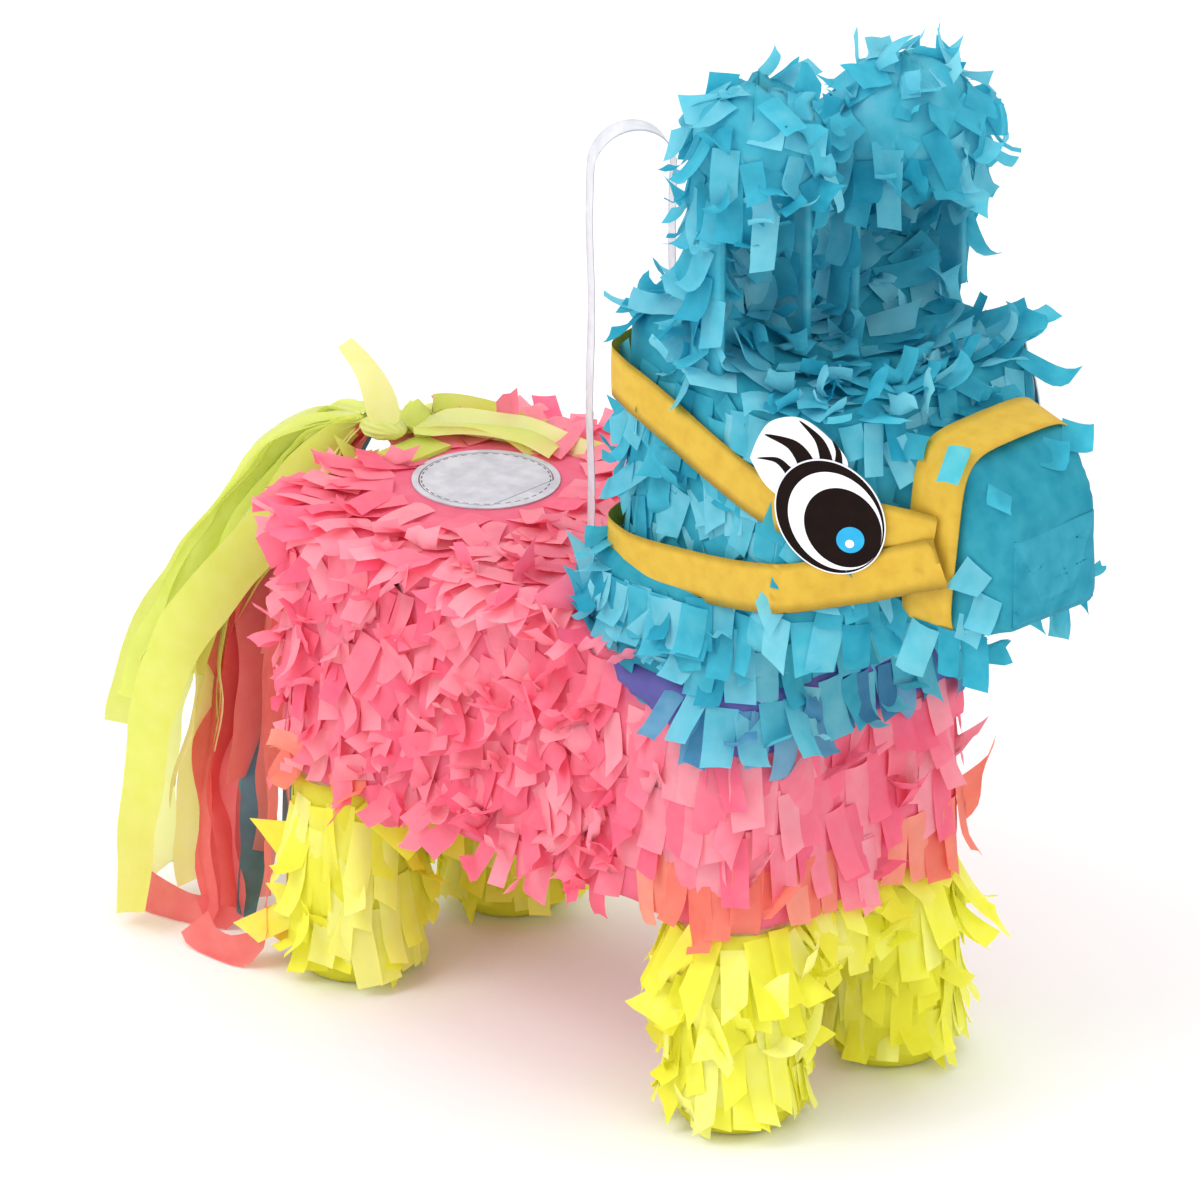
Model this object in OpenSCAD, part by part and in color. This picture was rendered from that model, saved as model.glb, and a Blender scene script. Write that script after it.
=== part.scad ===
// Donkey pinata: glued card boxes and tubes, skins of cut tissue fringe, paper straps,
// a hanging band, a fill flap in the back and a bunch of paper streamers for a tail.
// +X points to the nose, +Y to the animal's left, +Z up. The origin is on the floor, under the
// middle of the whole outline.

/* [Stance] */
// Middle of the front legs, along X
front_leg_x = 128; // [120:1:134]
// Distance from the front legs back to the rear legs
leg_spacing = 230; // [215:1:240]
// Half the distance between the left and the right legs
leg_y = 48.5; // [44:0.5:50]
// Outer radius of a leg's card tube
leg_r = 26; // [24:0.5:27]
// Height of the belly's card above the floor
belly_z = 100; // [94:1:106]

/* [Card] */
// Thickness of the card
card_t = 2; // [1.5:0.1:2.5]
// Thickness of the fringe skins
skin_t = 6; // [5:0.5:7]
// Gap left between glued pieces
glue_gap = 0.2; // [0.1:0.05:0.4]

/* [Trunk] */
// Trunk length
trunk_length = 282; // [276:1:288]
// Trunk width
trunk_width = 150; // [146:1:154]
// Radius of the trunk's upright corners
trunk_corner = 27; // [22:1:30]
// Height of the trunk's back
back_z = 221; // [216:1:224]
// Lower edge of the collar at the chest
collar_z = 177; // [170:1:184]

/* [Head] */
// Back of the neck, behind the front legs
neck_back = 69; // [66:1:72]
// Neck width
neck_width = 148; // [144:1:150]
// Height of the throat
throat_z = 252; // [248:1:256]
// Height of the crown
crown_z = 346; // [340:1:350]
// Head width
head_width = 132; // [126:1:136]
// Where the cheeks meet the muzzle, ahead of the front legs
brow_ahead = 76; // [73:1:79]
// Where the muzzle ends, ahead of the front legs
nose_ahead = 143; // [139:1:147]

/* [Ears] */
// Height of the right ear above the crown
right_ear_height = 135; // [125:1:140]
// Height of the left ear above the crown
left_ear_height = 123; // [113:1:128]
// Distance between the ears' middles
ear_spacing = 89; // [80:1:94]
// Outer radius of the right ear
right_ear_r = 28; // [26:1:30]
// Outer radius of the left ear
left_ear_r = 35; // [31:1:38]

/* [Fill flap] */
// Radius of the hole that sweets go in through
fill_r = 29; // [25:0.5:30]
// Distance from the front legs back to the hole
fill_behind = 197; // [190:1:204]
// Distance from the hole's middle forward to the fold
fold_ahead = 22; // [18:0.5:24]

/* [Hanging band] */
// Distance from the front legs back to the band
band_behind = 109; // [105:1:113]
// Turn of the band's loop from the X axis, in degrees
band_turn = 58; // [50:1:90]
// Width of the band
band_width = 12; // [8:0.5:14]
// Thickness of the band
band_t = 0.9; // [0.6:0.1:1.4]
// Outer radius of the loop's round top
band_r = 19; // [16:0.5:21]
// Height of the top of the loop
band_top = 419; // [405:1:428]

/* [Tail] */
// Distance from the front legs back to where the streamers leave the rump
tail_behind = 273; // [270:1:276]
// Width of a streamer
streamer_width = 22; // [18:1:24]
// Thickness of a streamer
streamer_t = 1; // [0.6:0.1:1.4]

/* [Hidden] */
$fn = 64;

turquoise = "#45B5CC";
pink = "#FF7F98";
lemon = "#F0FF50";
cardboard = "#B08A5C";

rear_leg_x = front_leg_x - leg_spacing;
foot_t = 12;
foot_round = 9;
leg_skin_t = 5;
trunk_front_x = front_leg_x + 26;
trunk_back_x = trunk_front_x - trunk_length;
neck_front_x = front_leg_x + 21;
neck_back_x = front_leg_x - neck_back;
neck_corner = 27;
head_back_x = front_leg_x - 58;
brow_x = front_leg_x + brow_ahead;
cheek_x = brow_x - 27;
brow_half = 45;
noseband_x = brow_x + 35;
muzzle_bend_x = noseband_x + 6;
noseband_width = 22;
nose_x = front_leg_x + nose_ahead;
fill_x = front_leg_x - fill_behind;
fold_x = fill_x + fold_ahead;
label_r = fill_r + 3.5;
label_t = 0.7;
band_x = front_leg_x - band_behind;
plate_z = back_z - 2 * card_t - glue_gap;
skin_top = back_z + 5.2;
ear_x = front_leg_x + 8;
ear_y = ear_spacing / 2;
eye_z = 315;
tail_x = front_leg_x - tail_behind;
tail_z = 236;
streamer_start = 5;

// Plan of a box with round upright corners, grown outwards by g
module round_plan(x0, x1, half, r, g = 0) {
    for (x = [x0 + r, x1 - r], y = [-half + r, half - r])
        translate([x, y]) circle(r + g);
    translate([x0 + r, -half - g]) square([x1 - x0 - 2 * r, 2 * half + 2 * g]);
    translate([x0 - g, -half + r]) square([x1 - x0 + 2 * g, 2 * half - 2 * r]);
}

module trunk_plan(g = 0) {
    round_plan(trunk_back_x, trunk_front_x, trunk_width / 2, trunk_corner, g);
}

module neck_plan(g = 0) {
    round_plan(neck_back_x, neck_front_x, neck_width / 2, neck_corner, g);
}

// The head is round at the back, and its cheeks draw in towards the muzzle
module head_plan(g = 0) {
    h = head_width / 2;
    r = 28;
    for (s = [-1, 1]) translate([head_back_x + r, s * (h - r)]) circle(r + g);
    translate([head_back_x - g, r - h]) square([2 * r, 2 * h - 2 * r]);
    polygon([
        [head_back_x + r, -h - g], [cheek_x + g / 3, -h - g], [brow_x + g, -brow_half - g / 2],
        [brow_x + g, brow_half + g / 2], [cheek_x + g / 3, h + g], [head_back_x + r, h + g]
    ]);
}

// Everything that stands in one plan between two heights
module slab(z0, z1) {
    translate([0, 0, z0]) linear_extrude(z1 - z0) children();
}

// ---- card ----

module trunk_wrap() {
    color(cardboard) slab(belly_z, back_z)
        difference() { trunk_plan(); trunk_plan(-card_t); }
}

// Slits that the hanging band passes through
module band_slits() {
    for (s = [-1, 1])
        translate([band_x, 0]) rotate(band_turn) translate([s * (band_r - band_t / 2), 0])
            square([band_t + 0.8, band_width + 1], center = true);
}

// The fill hole: a round with a straight side at the fold
module fill_round(r, fold = fold_x) {
    intersection() {
        translate([fill_x, 0]) circle(r);
        translate([fill_x - 2 * r, -r]) square([fold - fill_x + 2 * r, 2 * r]);
    }
}

module back_panel() {
    color(cardboard) slab(back_z - card_t, back_z) difference() {
        trunk_plan(-card_t - glue_gap);
        fill_round(fill_r + 0.6, fold_x + 0.3);
        band_slits();
    }
}

module belly_panel() {
    color(cardboard) slab(belly_z, belly_z + card_t) trunk_plan(-card_t - glue_gap);
}

module neck_sleeve() {
    color(cardboard) slab(back_z + glue_gap, throat_z - card_t - glue_gap)
        difference() { neck_plan(); neck_plan(-card_t); }
}

module throat_panel() {
    color(cardboard) slab(throat_z - card_t, throat_z) head_plan();
}

module head_wrap() {
    color(cardboard) slab(throat_z + glue_gap, crown_z - glue_gap)
        difference() { head_plan(); head_plan(-card_t); }
}

module crown_panel() {
    color(cardboard) slab(crown_z, crown_z + card_t) head_plan();
}

function ramp(x, x0, x1, a, b) = a + (b - a) * (x - x0) / (x1 - x0);
function muzzle_half(x) = x < muzzle_bend_x
    ? ramp(x, brow_x, muzzle_bend_x, 38, 29) : ramp(x, muzzle_bend_x, nose_x, 29, 24);
function muzzle_low(x) = x < muzzle_bend_x ? 257 : ramp(x, muzzle_bend_x, nose_x, 257, 266);
function muzzle_high(x) = x < muzzle_bend_x
    ? ramp(x, brow_x, muzzle_bend_x, 337, 333) : ramp(x, muzzle_bend_x, nose_x, 333, 304);

module muzzle_section(x, g) {
    translate([x, -muzzle_half(x) - g, muzzle_low(x) - g])
        cube([0.1, 2 * muzzle_half(x) + 2 * g, muzzle_high(x) - muzzle_low(x) + 2 * g]);
}

// Block of the muzzle grown by g: it narrows, and its top slopes down ahead of the noseband
module muzzle_block(g = 0, back = 0, front = 0) {
    hull() {
        muzzle_section(brow_x + back, g);
        muzzle_section(muzzle_bend_x, g);
    }
    hull() {
        muzzle_section(muzzle_bend_x, g);
        muzzle_section(nose_x - 4 - front, g);
    }
}

module muzzle_sleeve() {
    color(cardboard) difference() {
        muzzle_block(0, glue_gap, 0.4);
        muzzle_block(-card_t, -1, -1);
    }
}

module nose_panel() {
    color(turquoise) translate([nose_x - 3.8, -24, 266]) cube([card_t, 48, 38]);
}

module leg_tube(x, y) {
    color(cardboard) translate([x, y, foot_t + glue_gap]) difference() {
        cylinder(r = leg_r, h = belly_z - foot_t - 2 * glue_gap);
        translate([0, 0, -1]) cylinder(r = leg_r - card_t, h = belly_z);
    }
}

module front_left_leg() { leg_tube(front_leg_x, leg_y); }
module front_right_leg() { leg_tube(front_leg_x, -leg_y); }
module rear_left_leg() { leg_tube(rear_leg_x, leg_y); }
module rear_right_leg() { leg_tube(rear_leg_x, -leg_y); }

// A foot is a papered cap with a rounded lower edge, glued under its tube
module foot_cap(x, y) {
    color(lemon) translate([x, y, 0]) rotate_extrude() {
        square([leg_r - foot_round, foot_t]);
        translate([0, foot_round]) square([leg_r, foot_t - foot_round]);
        intersection() {
            translate([leg_r - foot_round, foot_round]) circle(foot_round);
            square([leg_r, foot_t]);
        }
    }
}

module front_left_foot() { foot_cap(front_leg_x, leg_y); }
module front_right_foot() { foot_cap(front_leg_x, -leg_y); }
module rear_left_foot() { foot_cap(rear_leg_x, leg_y); }
module rear_right_foot() { foot_cap(rear_leg_x, -leg_y); }

// An ear is a hood: a tube with a domed top, open to the front below the dome
module ear_body(r, top_z) {
    base_z = crown_z + card_t + glue_gap;
    translate([0, 0, base_z - 1]) cylinder(r = r, h = top_z - r - base_z + 1);
    translate([0, 0, top_z - r]) sphere(r = r);
}

module ear_shell(side, ear_r, top_z, inset, thickness) {
    base_z = crown_z + card_t + glue_gap;
    r = ear_r - inset;
    translate([ear_x, side * ear_y, 0]) difference() {
        ear_body(r, top_z - inset);
        ear_body(r - thickness, top_z - inset - thickness);
        translate([-60, -60, base_z - 20]) cube([120, 120, 20]);
        translate([2, -60, base_z - 1]) cube([60, 120, top_z - 1.4 * ear_r - base_z]);
    }
}

module left_ear() {
    color(cardboard) ear_shell(1, left_ear_r, crown_z + left_ear_height, 5, card_t);
}

module right_ear() {
    color(cardboard) ear_shell(-1, right_ear_r, crown_z + right_ear_height, 5, card_t);
}

// ---- hanging band ----

module hanger_plate() {
    color(cardboard) slab(plate_z, plate_z + card_t) difference() {
        translate([band_x, 0]) rotate(band_turn) square([64, 40], center = true);
        band_slits();
    }
}

// The two ends of the band, inside the slits
module band_ends() {
    color("white") for (s = [-1, 1])
        translate([band_x, 0, plate_z - 6]) rotate(band_turn)
            translate([s * (band_r - band_t / 2) - band_t / 2, -band_width / 2, 0])
                cube([band_t, band_width, skin_top - plate_z + 6]);
}

// The knots that stop the band from pulling out
module band_knots() {
    color("white") for (s = [-1, 1])
        translate([band_x, 0, plate_z - 3.2]) rotate(band_turn) translate([s * (band_r - 0.5), 0, 0])
            difference() {
                rotate([90, 0, 0]) cylinder(r = 3, h = band_width, center = true);
                cube([band_t + 0.3, band_width + 2, 20], center = true);
            }
}

// The loop, with each foot cut round about the line that it leans on
module hanging_band() {
    arch_z = band_top - band_r;
    lean_z = skin_top + 0.5 + band_width / 2;
    color("white") translate([band_x, 0, 0]) rotate(band_turn) {
        for (s = [-1, 1]) translate([s * (band_r - band_t / 2) - band_t / 2, 0, 0]) {
            translate([0, -band_width / 2, lean_z]) cube([band_t, band_width, arch_z - lean_z]);
            translate([0, 0, lean_z]) rotate([0, 90, 0]) cylinder(r = band_width / 2, h = band_t);
        }
        translate([0, 0, arch_z]) rotate([90, 0, 0]) intersection() {
            difference() {
                cylinder(r = band_r, h = band_width, center = true, $fn = 96);
                cylinder(r = band_r - band_t, h = band_width + 2, center = true, $fn = 96);
            }
            translate([-band_r - 1, 0, -band_width]) cube([2 * band_r + 2, band_r + 1, 2 * band_width]);
        }
    }
}

// ---- fill flap ----

module fill_flap() {
    color(cardboard) slab(back_z - card_t, back_z) fill_round(fill_r, fold_x - 0.2);
}

// The part of the round label that lifts with the flap, and the tissue under it
module flap_label() {
    color("#D8D5DA") slab(back_z + 0.05, skin_top + label_t) fill_round(fill_r, fold_x - 0.2);
}

// The edge of the label that stays on the back
module label_rim() {
    color("#D8D5DA") slab(skin_top + 0.1, skin_top + label_t) difference() {
        translate([fill_x, 0]) circle(label_r);
        fill_round(fill_r + 0.6, fold_x + 0.2);
    }
}

// ---- tissue fringe skins ----

module trunk_fringe() {
    color(pink) slab(belly_z - 2, skin_top)
        difference() { trunk_plan(skin_t); trunk_plan(glue_gap); }
}

module back_fringe() {
    color(pink) slab(back_z + glue_gap, skin_top) difference() {
        trunk_plan();
        fill_round(fill_r + 0.6, fold_x + 0.2);
        neck_plan(glue_gap);
        translate([band_x, 0]) rotate(band_turn) square([2 * band_r + 6, band_width + 3], center = true);
    }
}

module belly_fringe() {
    color(pink) slab(belly_z - 2, belly_z - glue_gap) difference() {
        trunk_plan();
        for (x = [front_leg_x, rear_leg_x], y = [-leg_y, leg_y])
            translate([x, y]) circle(leg_r + leg_skin_t + 1);
    }
}

// The collar's lower edge climbs from the chest to the back of the neck
module collar_fringe() {
    color("#5A9CCB") difference() {
        slab(collar_z, back_z + 12) difference() {
            trunk_plan(skin_t + 3);
            trunk_plan(skin_t + glue_gap);
            translate([trunk_back_x - 20, -120]) square([neck_back_x - trunk_back_x + 20, 240]);
        }
        translate([0, 120, 0]) rotate([90, 0, 0]) linear_extrude(240) polygon([
            [neck_back_x - 5, collar_z - 1], [neck_front_x - 5, collar_z - 1], [neck_back_x - 5, collar_z + 38]
        ]);
    }
}

module neck_fringe() {
    color(turquoise) slab(skin_top + glue_gap, throat_z - card_t - glue_gap)
        difference() { neck_plan(skin_t); neck_plan(glue_gap); }
}

module head_fringe() {
    color(turquoise) slab(throat_z - card_t, crown_z + card_t) difference() {
        head_plan(skin_t);
        head_plan(glue_gap);
        translate([brow_x - 1, -43]) square([20, 86]);
    }
}

module crown_fringe() {
    color(turquoise) slab(crown_z + card_t + glue_gap, crown_z + card_t + skin_t) difference() {
        head_plan(skin_t);
        translate([ear_x, ear_y]) circle(left_ear_r + 0.5);
        translate([ear_x, -ear_y]) circle(right_ear_r + 0.5);
    }
}

module muzzle_fringe() {
    color(turquoise) difference() {
        muzzle_block(4.4, skin_t + 0.4, 0.6);
        muzzle_block(glue_gap, 0, -6);
    }
}

module leg_fringe(x, y) {
    color(lemon) translate([x, y, foot_round]) difference() {
        cylinder(r = leg_r + leg_skin_t, h = belly_z - foot_round - 2 - glue_gap);
        translate([0, 0, -1]) cylinder(r = leg_r + glue_gap, h = belly_z);
    }
}

module front_left_leg_fringe() { leg_fringe(front_leg_x, leg_y); }
module front_right_leg_fringe() { leg_fringe(front_leg_x, -leg_y); }
module rear_left_leg_fringe() { leg_fringe(rear_leg_x, leg_y); }
module rear_right_leg_fringe() { leg_fringe(rear_leg_x, -leg_y); }

module left_ear_fringe() {
    color(turquoise) ear_shell(1, left_ear_r, crown_z + left_ear_height, 0, 4.6);
}

module right_ear_fringe() {
    color(turquoise) ear_shell(-1, right_ear_r, crown_z + right_ear_height, 0, 4.6);
}

// ---- paper straps and eyes ----

module noseband() {
    color("#EBCB45") intersection() {
        difference() { muzzle_block(5.6, -4, -6); muzzle_block(4.6, -8, -9); }
        translate([noseband_x - 16, -100, 200]) cube([noseband_width, 200, 200]);
    }
}

// A strap around the head, in a sloping band that falls by drop from the muzzle to the back
module head_strap(muzzle_z, drop, gap) {
    length = brow_x - head_back_x;
    color("#EBCB45") intersection() {
        slab(throat_z - 12, crown_z + 12) difference() {
            head_plan(skin_t + gap + 0.8);
            head_plan(skin_t + gap);
            translate([brow_x - 3, -brow_half]) square([20, 2 * brow_half]);
            translate([brow_x + 6, -100]) square([20, 200]);
        }
        translate([brow_x, 0, muzzle_z]) rotate([0, -atan(drop / length), 0])
            translate([-260, -100, -10.5]) cube([300, 200, 21]);
    }
}

module cheek_strap() { head_strap(288, 27, 0.3); }
module brow_strap() { head_strap(296, -42, 1.4); }

// Frame of a cheek: x runs along it to the nose, y up, z out of it
module on_cheek(side, out, along = 0) {
    half = head_width / 2;
    turn = atan2(half - brow_half, brow_x - cheek_x);
    translate([(cheek_x + brow_x) / 2, side * (half + brow_half) / 2, eye_z])
        rotate([90, 0, side > 0 ? 180 - turn : turn])
            mirror([side > 0 ? 1 : 0, 0, 0])
                translate([along, 0, out]) children();
}

module eye_disc(side) {
    color("#1E0E0A") on_cheek(side, 9.8) linear_extrude(1.5) hull() {
        translate([1, -5]) circle(22);
        translate([-2, 9]) circle(19);
    }
}

module left_eye() { eye_disc(1); }
module right_eye() { eye_disc(-1); }

module lash_tab(side) {
    color("white") on_cheek(side, 8.6) linear_extrude(1) difference() {
        translate([-6, 14]) circle(29);
        translate([-42, -40]) square([80, 52]);
        translate([16, 0]) square([40, 60]);
    }
}

module left_lashes() { lash_tab(1); }
module right_lashes() { lash_tab(-1); }

// ---- tail ----

module tail_tab() {
    color("#5A8A98") translate([tail_x + 23, -14, skin_top + 0.1]) cube([18, 28, 2]);
}

module tail_spray() {
    color("#E6F57A") translate([tail_x + 30, 34, skin_top + 0.1]) rotate(8) cube([76, 18, 1.6]);
}

module tail_pleat() {
    color("#E6F57A") translate([tail_x + 7.5, -8, tail_z - 7]) cube([15.5, 16, 5]);
}

// A streamer arches back from the rump and falls to end_z; yaw swings it about its root
module streamer(yaw, r, top, end_z, width = streamer_width) {
    translate([tail_x, 0, 0]) rotate(yaw) translate([-streamer_start, 0, 0]) {
        translate([0, width / 2, top - r]) rotate([90, 0, 0]) rotate([0, 0, 90])
            rotate_extrude(angle = 90, $fn = 96)
                translate([r - streamer_t, 0]) square([streamer_t, width]);
        translate([-r, -width / 2, end_z]) cube([streamer_t, width, top - r - end_z]);
    }
}

module long_yellow_streamer() { color("#E6F57A") streamer(20, 122, tail_z, 55); }
module middle_yellow_streamer() { color("#E6F57A") streamer(8, 90, tail_z - 1.4, 12); }
module short_yellow_streamer() { color("#E6F57A") streamer(-12, 72, tail_z - 2.8, 98); }
module outer_coral_streamer() { color("#E9654F") streamer(14, 52, tail_z - 4.2, 6); }
module inner_coral_streamer() { color("#E9654F") streamer(-4, 30, tail_z - 5.6, 25); }
module teal_streamer() { color("#5A8A98") streamer(6, 14, tail_z - 7, 8); }

trunk_wrap();
back_panel();
belly_panel();
neck_sleeve();
throat_panel();
head_wrap();
crown_panel();
muzzle_sleeve();
nose_panel();
front_left_leg();
front_right_leg();
rear_left_leg();
rear_right_leg();
front_left_foot();
front_right_foot();
rear_left_foot();
rear_right_foot();
left_ear();
right_ear();
hanger_plate();
band_ends();
band_knots();
hanging_band();
fill_flap();
flap_label();
label_rim();
trunk_fringe();
back_fringe();
belly_fringe();
collar_fringe();
neck_fringe();
head_fringe();
crown_fringe();
muzzle_fringe();
front_left_leg_fringe();
front_right_leg_fringe();
rear_left_leg_fringe();
rear_right_leg_fringe();
left_ear_fringe();
right_ear_fringe();
noseband();
cheek_strap();
brow_strap();
left_eye();
right_eye();
left_lashes();
right_lashes();
tail_tab();
tail_spray();
tail_pleat();
long_yellow_streamer();
middle_yellow_streamer();
short_yellow_streamer();
outer_coral_streamer();
inner_coral_streamer();
teal_streamer();
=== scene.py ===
import math
import random

import bmesh
import bpy
from mathutils import Matrix, Vector, noise
from mathutils.bvhtree import BVHTree


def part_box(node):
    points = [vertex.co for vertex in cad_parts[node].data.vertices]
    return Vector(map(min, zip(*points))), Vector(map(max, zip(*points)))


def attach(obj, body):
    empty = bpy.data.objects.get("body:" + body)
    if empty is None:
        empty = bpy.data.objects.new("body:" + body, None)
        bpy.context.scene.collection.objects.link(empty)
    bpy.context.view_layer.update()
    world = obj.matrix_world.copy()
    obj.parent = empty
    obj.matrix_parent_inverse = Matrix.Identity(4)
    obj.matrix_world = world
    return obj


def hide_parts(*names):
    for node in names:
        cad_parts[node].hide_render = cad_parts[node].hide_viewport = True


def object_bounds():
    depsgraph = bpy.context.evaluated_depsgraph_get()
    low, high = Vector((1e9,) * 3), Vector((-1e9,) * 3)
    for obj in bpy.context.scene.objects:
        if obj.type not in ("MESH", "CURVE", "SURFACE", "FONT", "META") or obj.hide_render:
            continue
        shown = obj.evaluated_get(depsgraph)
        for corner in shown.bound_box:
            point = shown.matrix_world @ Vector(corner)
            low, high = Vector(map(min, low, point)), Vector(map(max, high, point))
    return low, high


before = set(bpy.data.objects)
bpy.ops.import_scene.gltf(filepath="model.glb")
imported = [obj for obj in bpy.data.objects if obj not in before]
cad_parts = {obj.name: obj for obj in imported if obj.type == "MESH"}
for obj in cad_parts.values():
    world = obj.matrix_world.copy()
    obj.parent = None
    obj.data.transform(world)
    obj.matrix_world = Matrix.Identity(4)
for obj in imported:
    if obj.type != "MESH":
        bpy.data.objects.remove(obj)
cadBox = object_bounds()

mm = 0.001
bpy.context.scene.view_settings.view_transform = "Standard"


# Camera and light

cameraSet = {"azimuth": 43.9, "elevation": 23.4, "distance": 10.0, "span": 0.522, "aim": (0.0, 0.0, 0.190)}


def addCamera(look):
    az = math.radians(look["azimuth"])
    el = math.radians(look["elevation"])
    toward = Vector((math.cos(el) * math.sin(az), -math.cos(el) * math.cos(az), math.sin(el)))
    lensData = bpy.data.cameras.new("camera")
    lensData.sensor_width = 36
    lensData.lens = 36 * look["distance"] / look["span"]
    lensData.clip_end = 50
    camera = bpy.data.objects.new("camera", lensData)
    camera.location = Vector(look["aim"]) + toward * look["distance"]
    camera.rotation_euler = (-toward).to_track_quat("-Z", "Y").to_euler()
    bpy.context.scene.collection.objects.link(camera)
    bpy.context.scene.camera = camera


# energy in watts, size in metres; each light looks at the middle of the animal
lightSet = {
    "key": {"place": (-0.6, -2.2, 2.4), "size": 1.6, "energy": 36},
    "fill": {"place": (2.6, -0.6, 1.2), "size": 2.2, "energy": 12},
    "top": {"place": (0.0, 0.5, 3.0), "size": 2.4, "energy": 12},
}


def addLights(lights, worldStrength):
    for name, look in lights.items():
        data = bpy.data.lights.new(name, "AREA")
        data.energy = look["energy"]
        data.size = look["size"]
        lamp = bpy.data.objects.new(name, data)
        lamp.location = look["place"]
        aim = Vector((0, 0, 0.22)) - lamp.location
        lamp.rotation_euler = aim.to_track_quat("-Z", "Y").to_euler()
        bpy.context.scene.collection.objects.link(lamp)
    world = bpy.data.worlds.new("studio")
    world.use_nodes = True
    sky = world.node_tree.nodes["Background"]
    sky.inputs["Color"].default_value = (1, 1, 1, 1)
    sky.inputs["Strength"].default_value = worldStrength
    bpy.context.scene.world = world


# Small tools

def toLinear(hexColour):
    parts = [int(hexColour[i:i + 2], 16) / 255 for i in (1, 3, 5)]
    return [c / 12.92 if c <= 0.04045 else ((c + 0.055) / 1.055) ** 2.4 for c in parts] + [1]


def addNode(tree, kind, settings=None, links=None):
    made = tree.nodes.new(kind)
    for key, value in (settings or {}).items():
        if isinstance(key, int) or key in made.inputs:
            made.inputs[key].default_value = value
        else:
            setattr(made, key, value)
    for socket, source in (links or {}).items():
        tree.links.new(source, made.inputs[socket])
    return made


# how far stray paper ends may stand past the part's own width and height
strayEnds = {"wide": 12 * mm, "tall": 18 * mm}


def addPiece(name, bm, materials, body, replaced=(), smooth=True):
    wide, tall = cadBox[1][1] + strayEnds["wide"], cadBox[1][2] + strayEnds["tall"]
    for v in bm.verts:
        v.co.y = max(-wide, min(wide, v.co.y))
        v.co.z = min(tall, v.co.z)
    mesh = bpy.data.meshes.new(name)
    bm.to_mesh(mesh)
    bm.free()
    for polygon in mesh.polygons:
        polygon.use_smooth = smooth
    for material in materials:
        mesh.materials.append(material)
    piece = bpy.data.objects.new(name, mesh)
    bpy.context.scene.collection.objects.link(piece)
    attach(piece, body)
    if replaced:
        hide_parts(*replaced)
    return piece


def newMaterial(name):
    material = bpy.data.materials.new(name)
    material.use_nodes = True
    tree = material.node_tree
    tree.nodes.clear()
    return material, tree


# Materials

# Dyed tissue paper, calendered: matt, soft fibres, and it lets light through, so that strips
# against the light glow and overlapping ones look deeper.
# Its colour is a ramp from a painted shade colour through the full colour to a painted light colour, set for
# each strip at random and by a cloudy noise.
def tissuePaper(name, paintedLight, full, paintedShade, through=0.4, fibre=1.1):
    material, tree = newMaterial(name)
    place = addNode(tree, "ShaderNodeTexCoord").outputs["Object"]
    tint = addNode(tree, "ShaderNodeAttribute", {"attribute_name": "tint"})
    part = addNode(tree, "ShaderNodeSeparateColor", links={"Color": tint.outputs["Color"]})
    cloud = addNode(tree, "ShaderNodeTexNoise", {"Scale": 1 / (9 * mm), "Detail": 2}, {"Vector": place})
    mixed = addNode(tree, "ShaderNodeMath", {"operation": "MULTIPLY_ADD", 1: 0.62, 2: 0.0},
                    {0: part.outputs["Red"]})
    shade = addNode(tree, "ShaderNodeMath", {"operation": "MULTIPLY_ADD", 1: 0.38},
                    {0: cloud.outputs["Fac"], 2: mixed.outputs[0]})
    # painted shade at the low end of the ramp, painted light at the high end
    ramp = addNode(tree, "ShaderNodeValToRGB", links={"Fac": shade.outputs[0]})
    stops = ramp.color_ramp.elements
    stops[0].position = 0.12
    stops[0].color = toLinear(paintedShade)
    stops[1].position = 0.82
    stops[1].color = toLinear(paintedLight)
    middle = stops.new(0.46)
    middle.color = toLinear(full)
    fibres = addNode(tree, "ShaderNodeTexNoise", {"Scale": 1 / (fibre * mm), "Detail": 6, "Roughness": 0.7},
                     {"Vector": place})
    creases = addNode(tree, "ShaderNodeTexNoise", {"Scale": 1 / (6 * mm), "Detail": 3, "Distortion": 1.2},
                      {"Vector": place})
    height = addNode(tree, "ShaderNodeMath", {"operation": "MULTIPLY_ADD", 1: 0.22},
                     {0: fibres.outputs["Fac"], 2: creases.outputs["Fac"]})
    bump = addNode(tree, "ShaderNodeBump", {"Strength": 0.42, "Distance": 0.5 * mm},
                   {"Height": height.outputs[0]})
    surface = addNode(tree, "ShaderNodeBsdfPrincipled",
                      {"Roughness": 0.66, "IOR": 1.45, "Specular IOR Level": 0.28},
                      {"Base Color": ramp.outputs["Color"], "Normal": bump.outputs["Normal"]})
    glow = addNode(tree, "ShaderNodeBsdfTranslucent", links={"Color": ramp.outputs["Color"]})
    both = addNode(tree, "ShaderNodeMixShader", {0: through},
                   {1: surface.outputs["BSDF"], 2: glow.outputs["BSDF"]})
    addNode(tree, "ShaderNodeOutputMaterial", links={"Surface": both.outputs["Shader"]})
    return material


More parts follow.
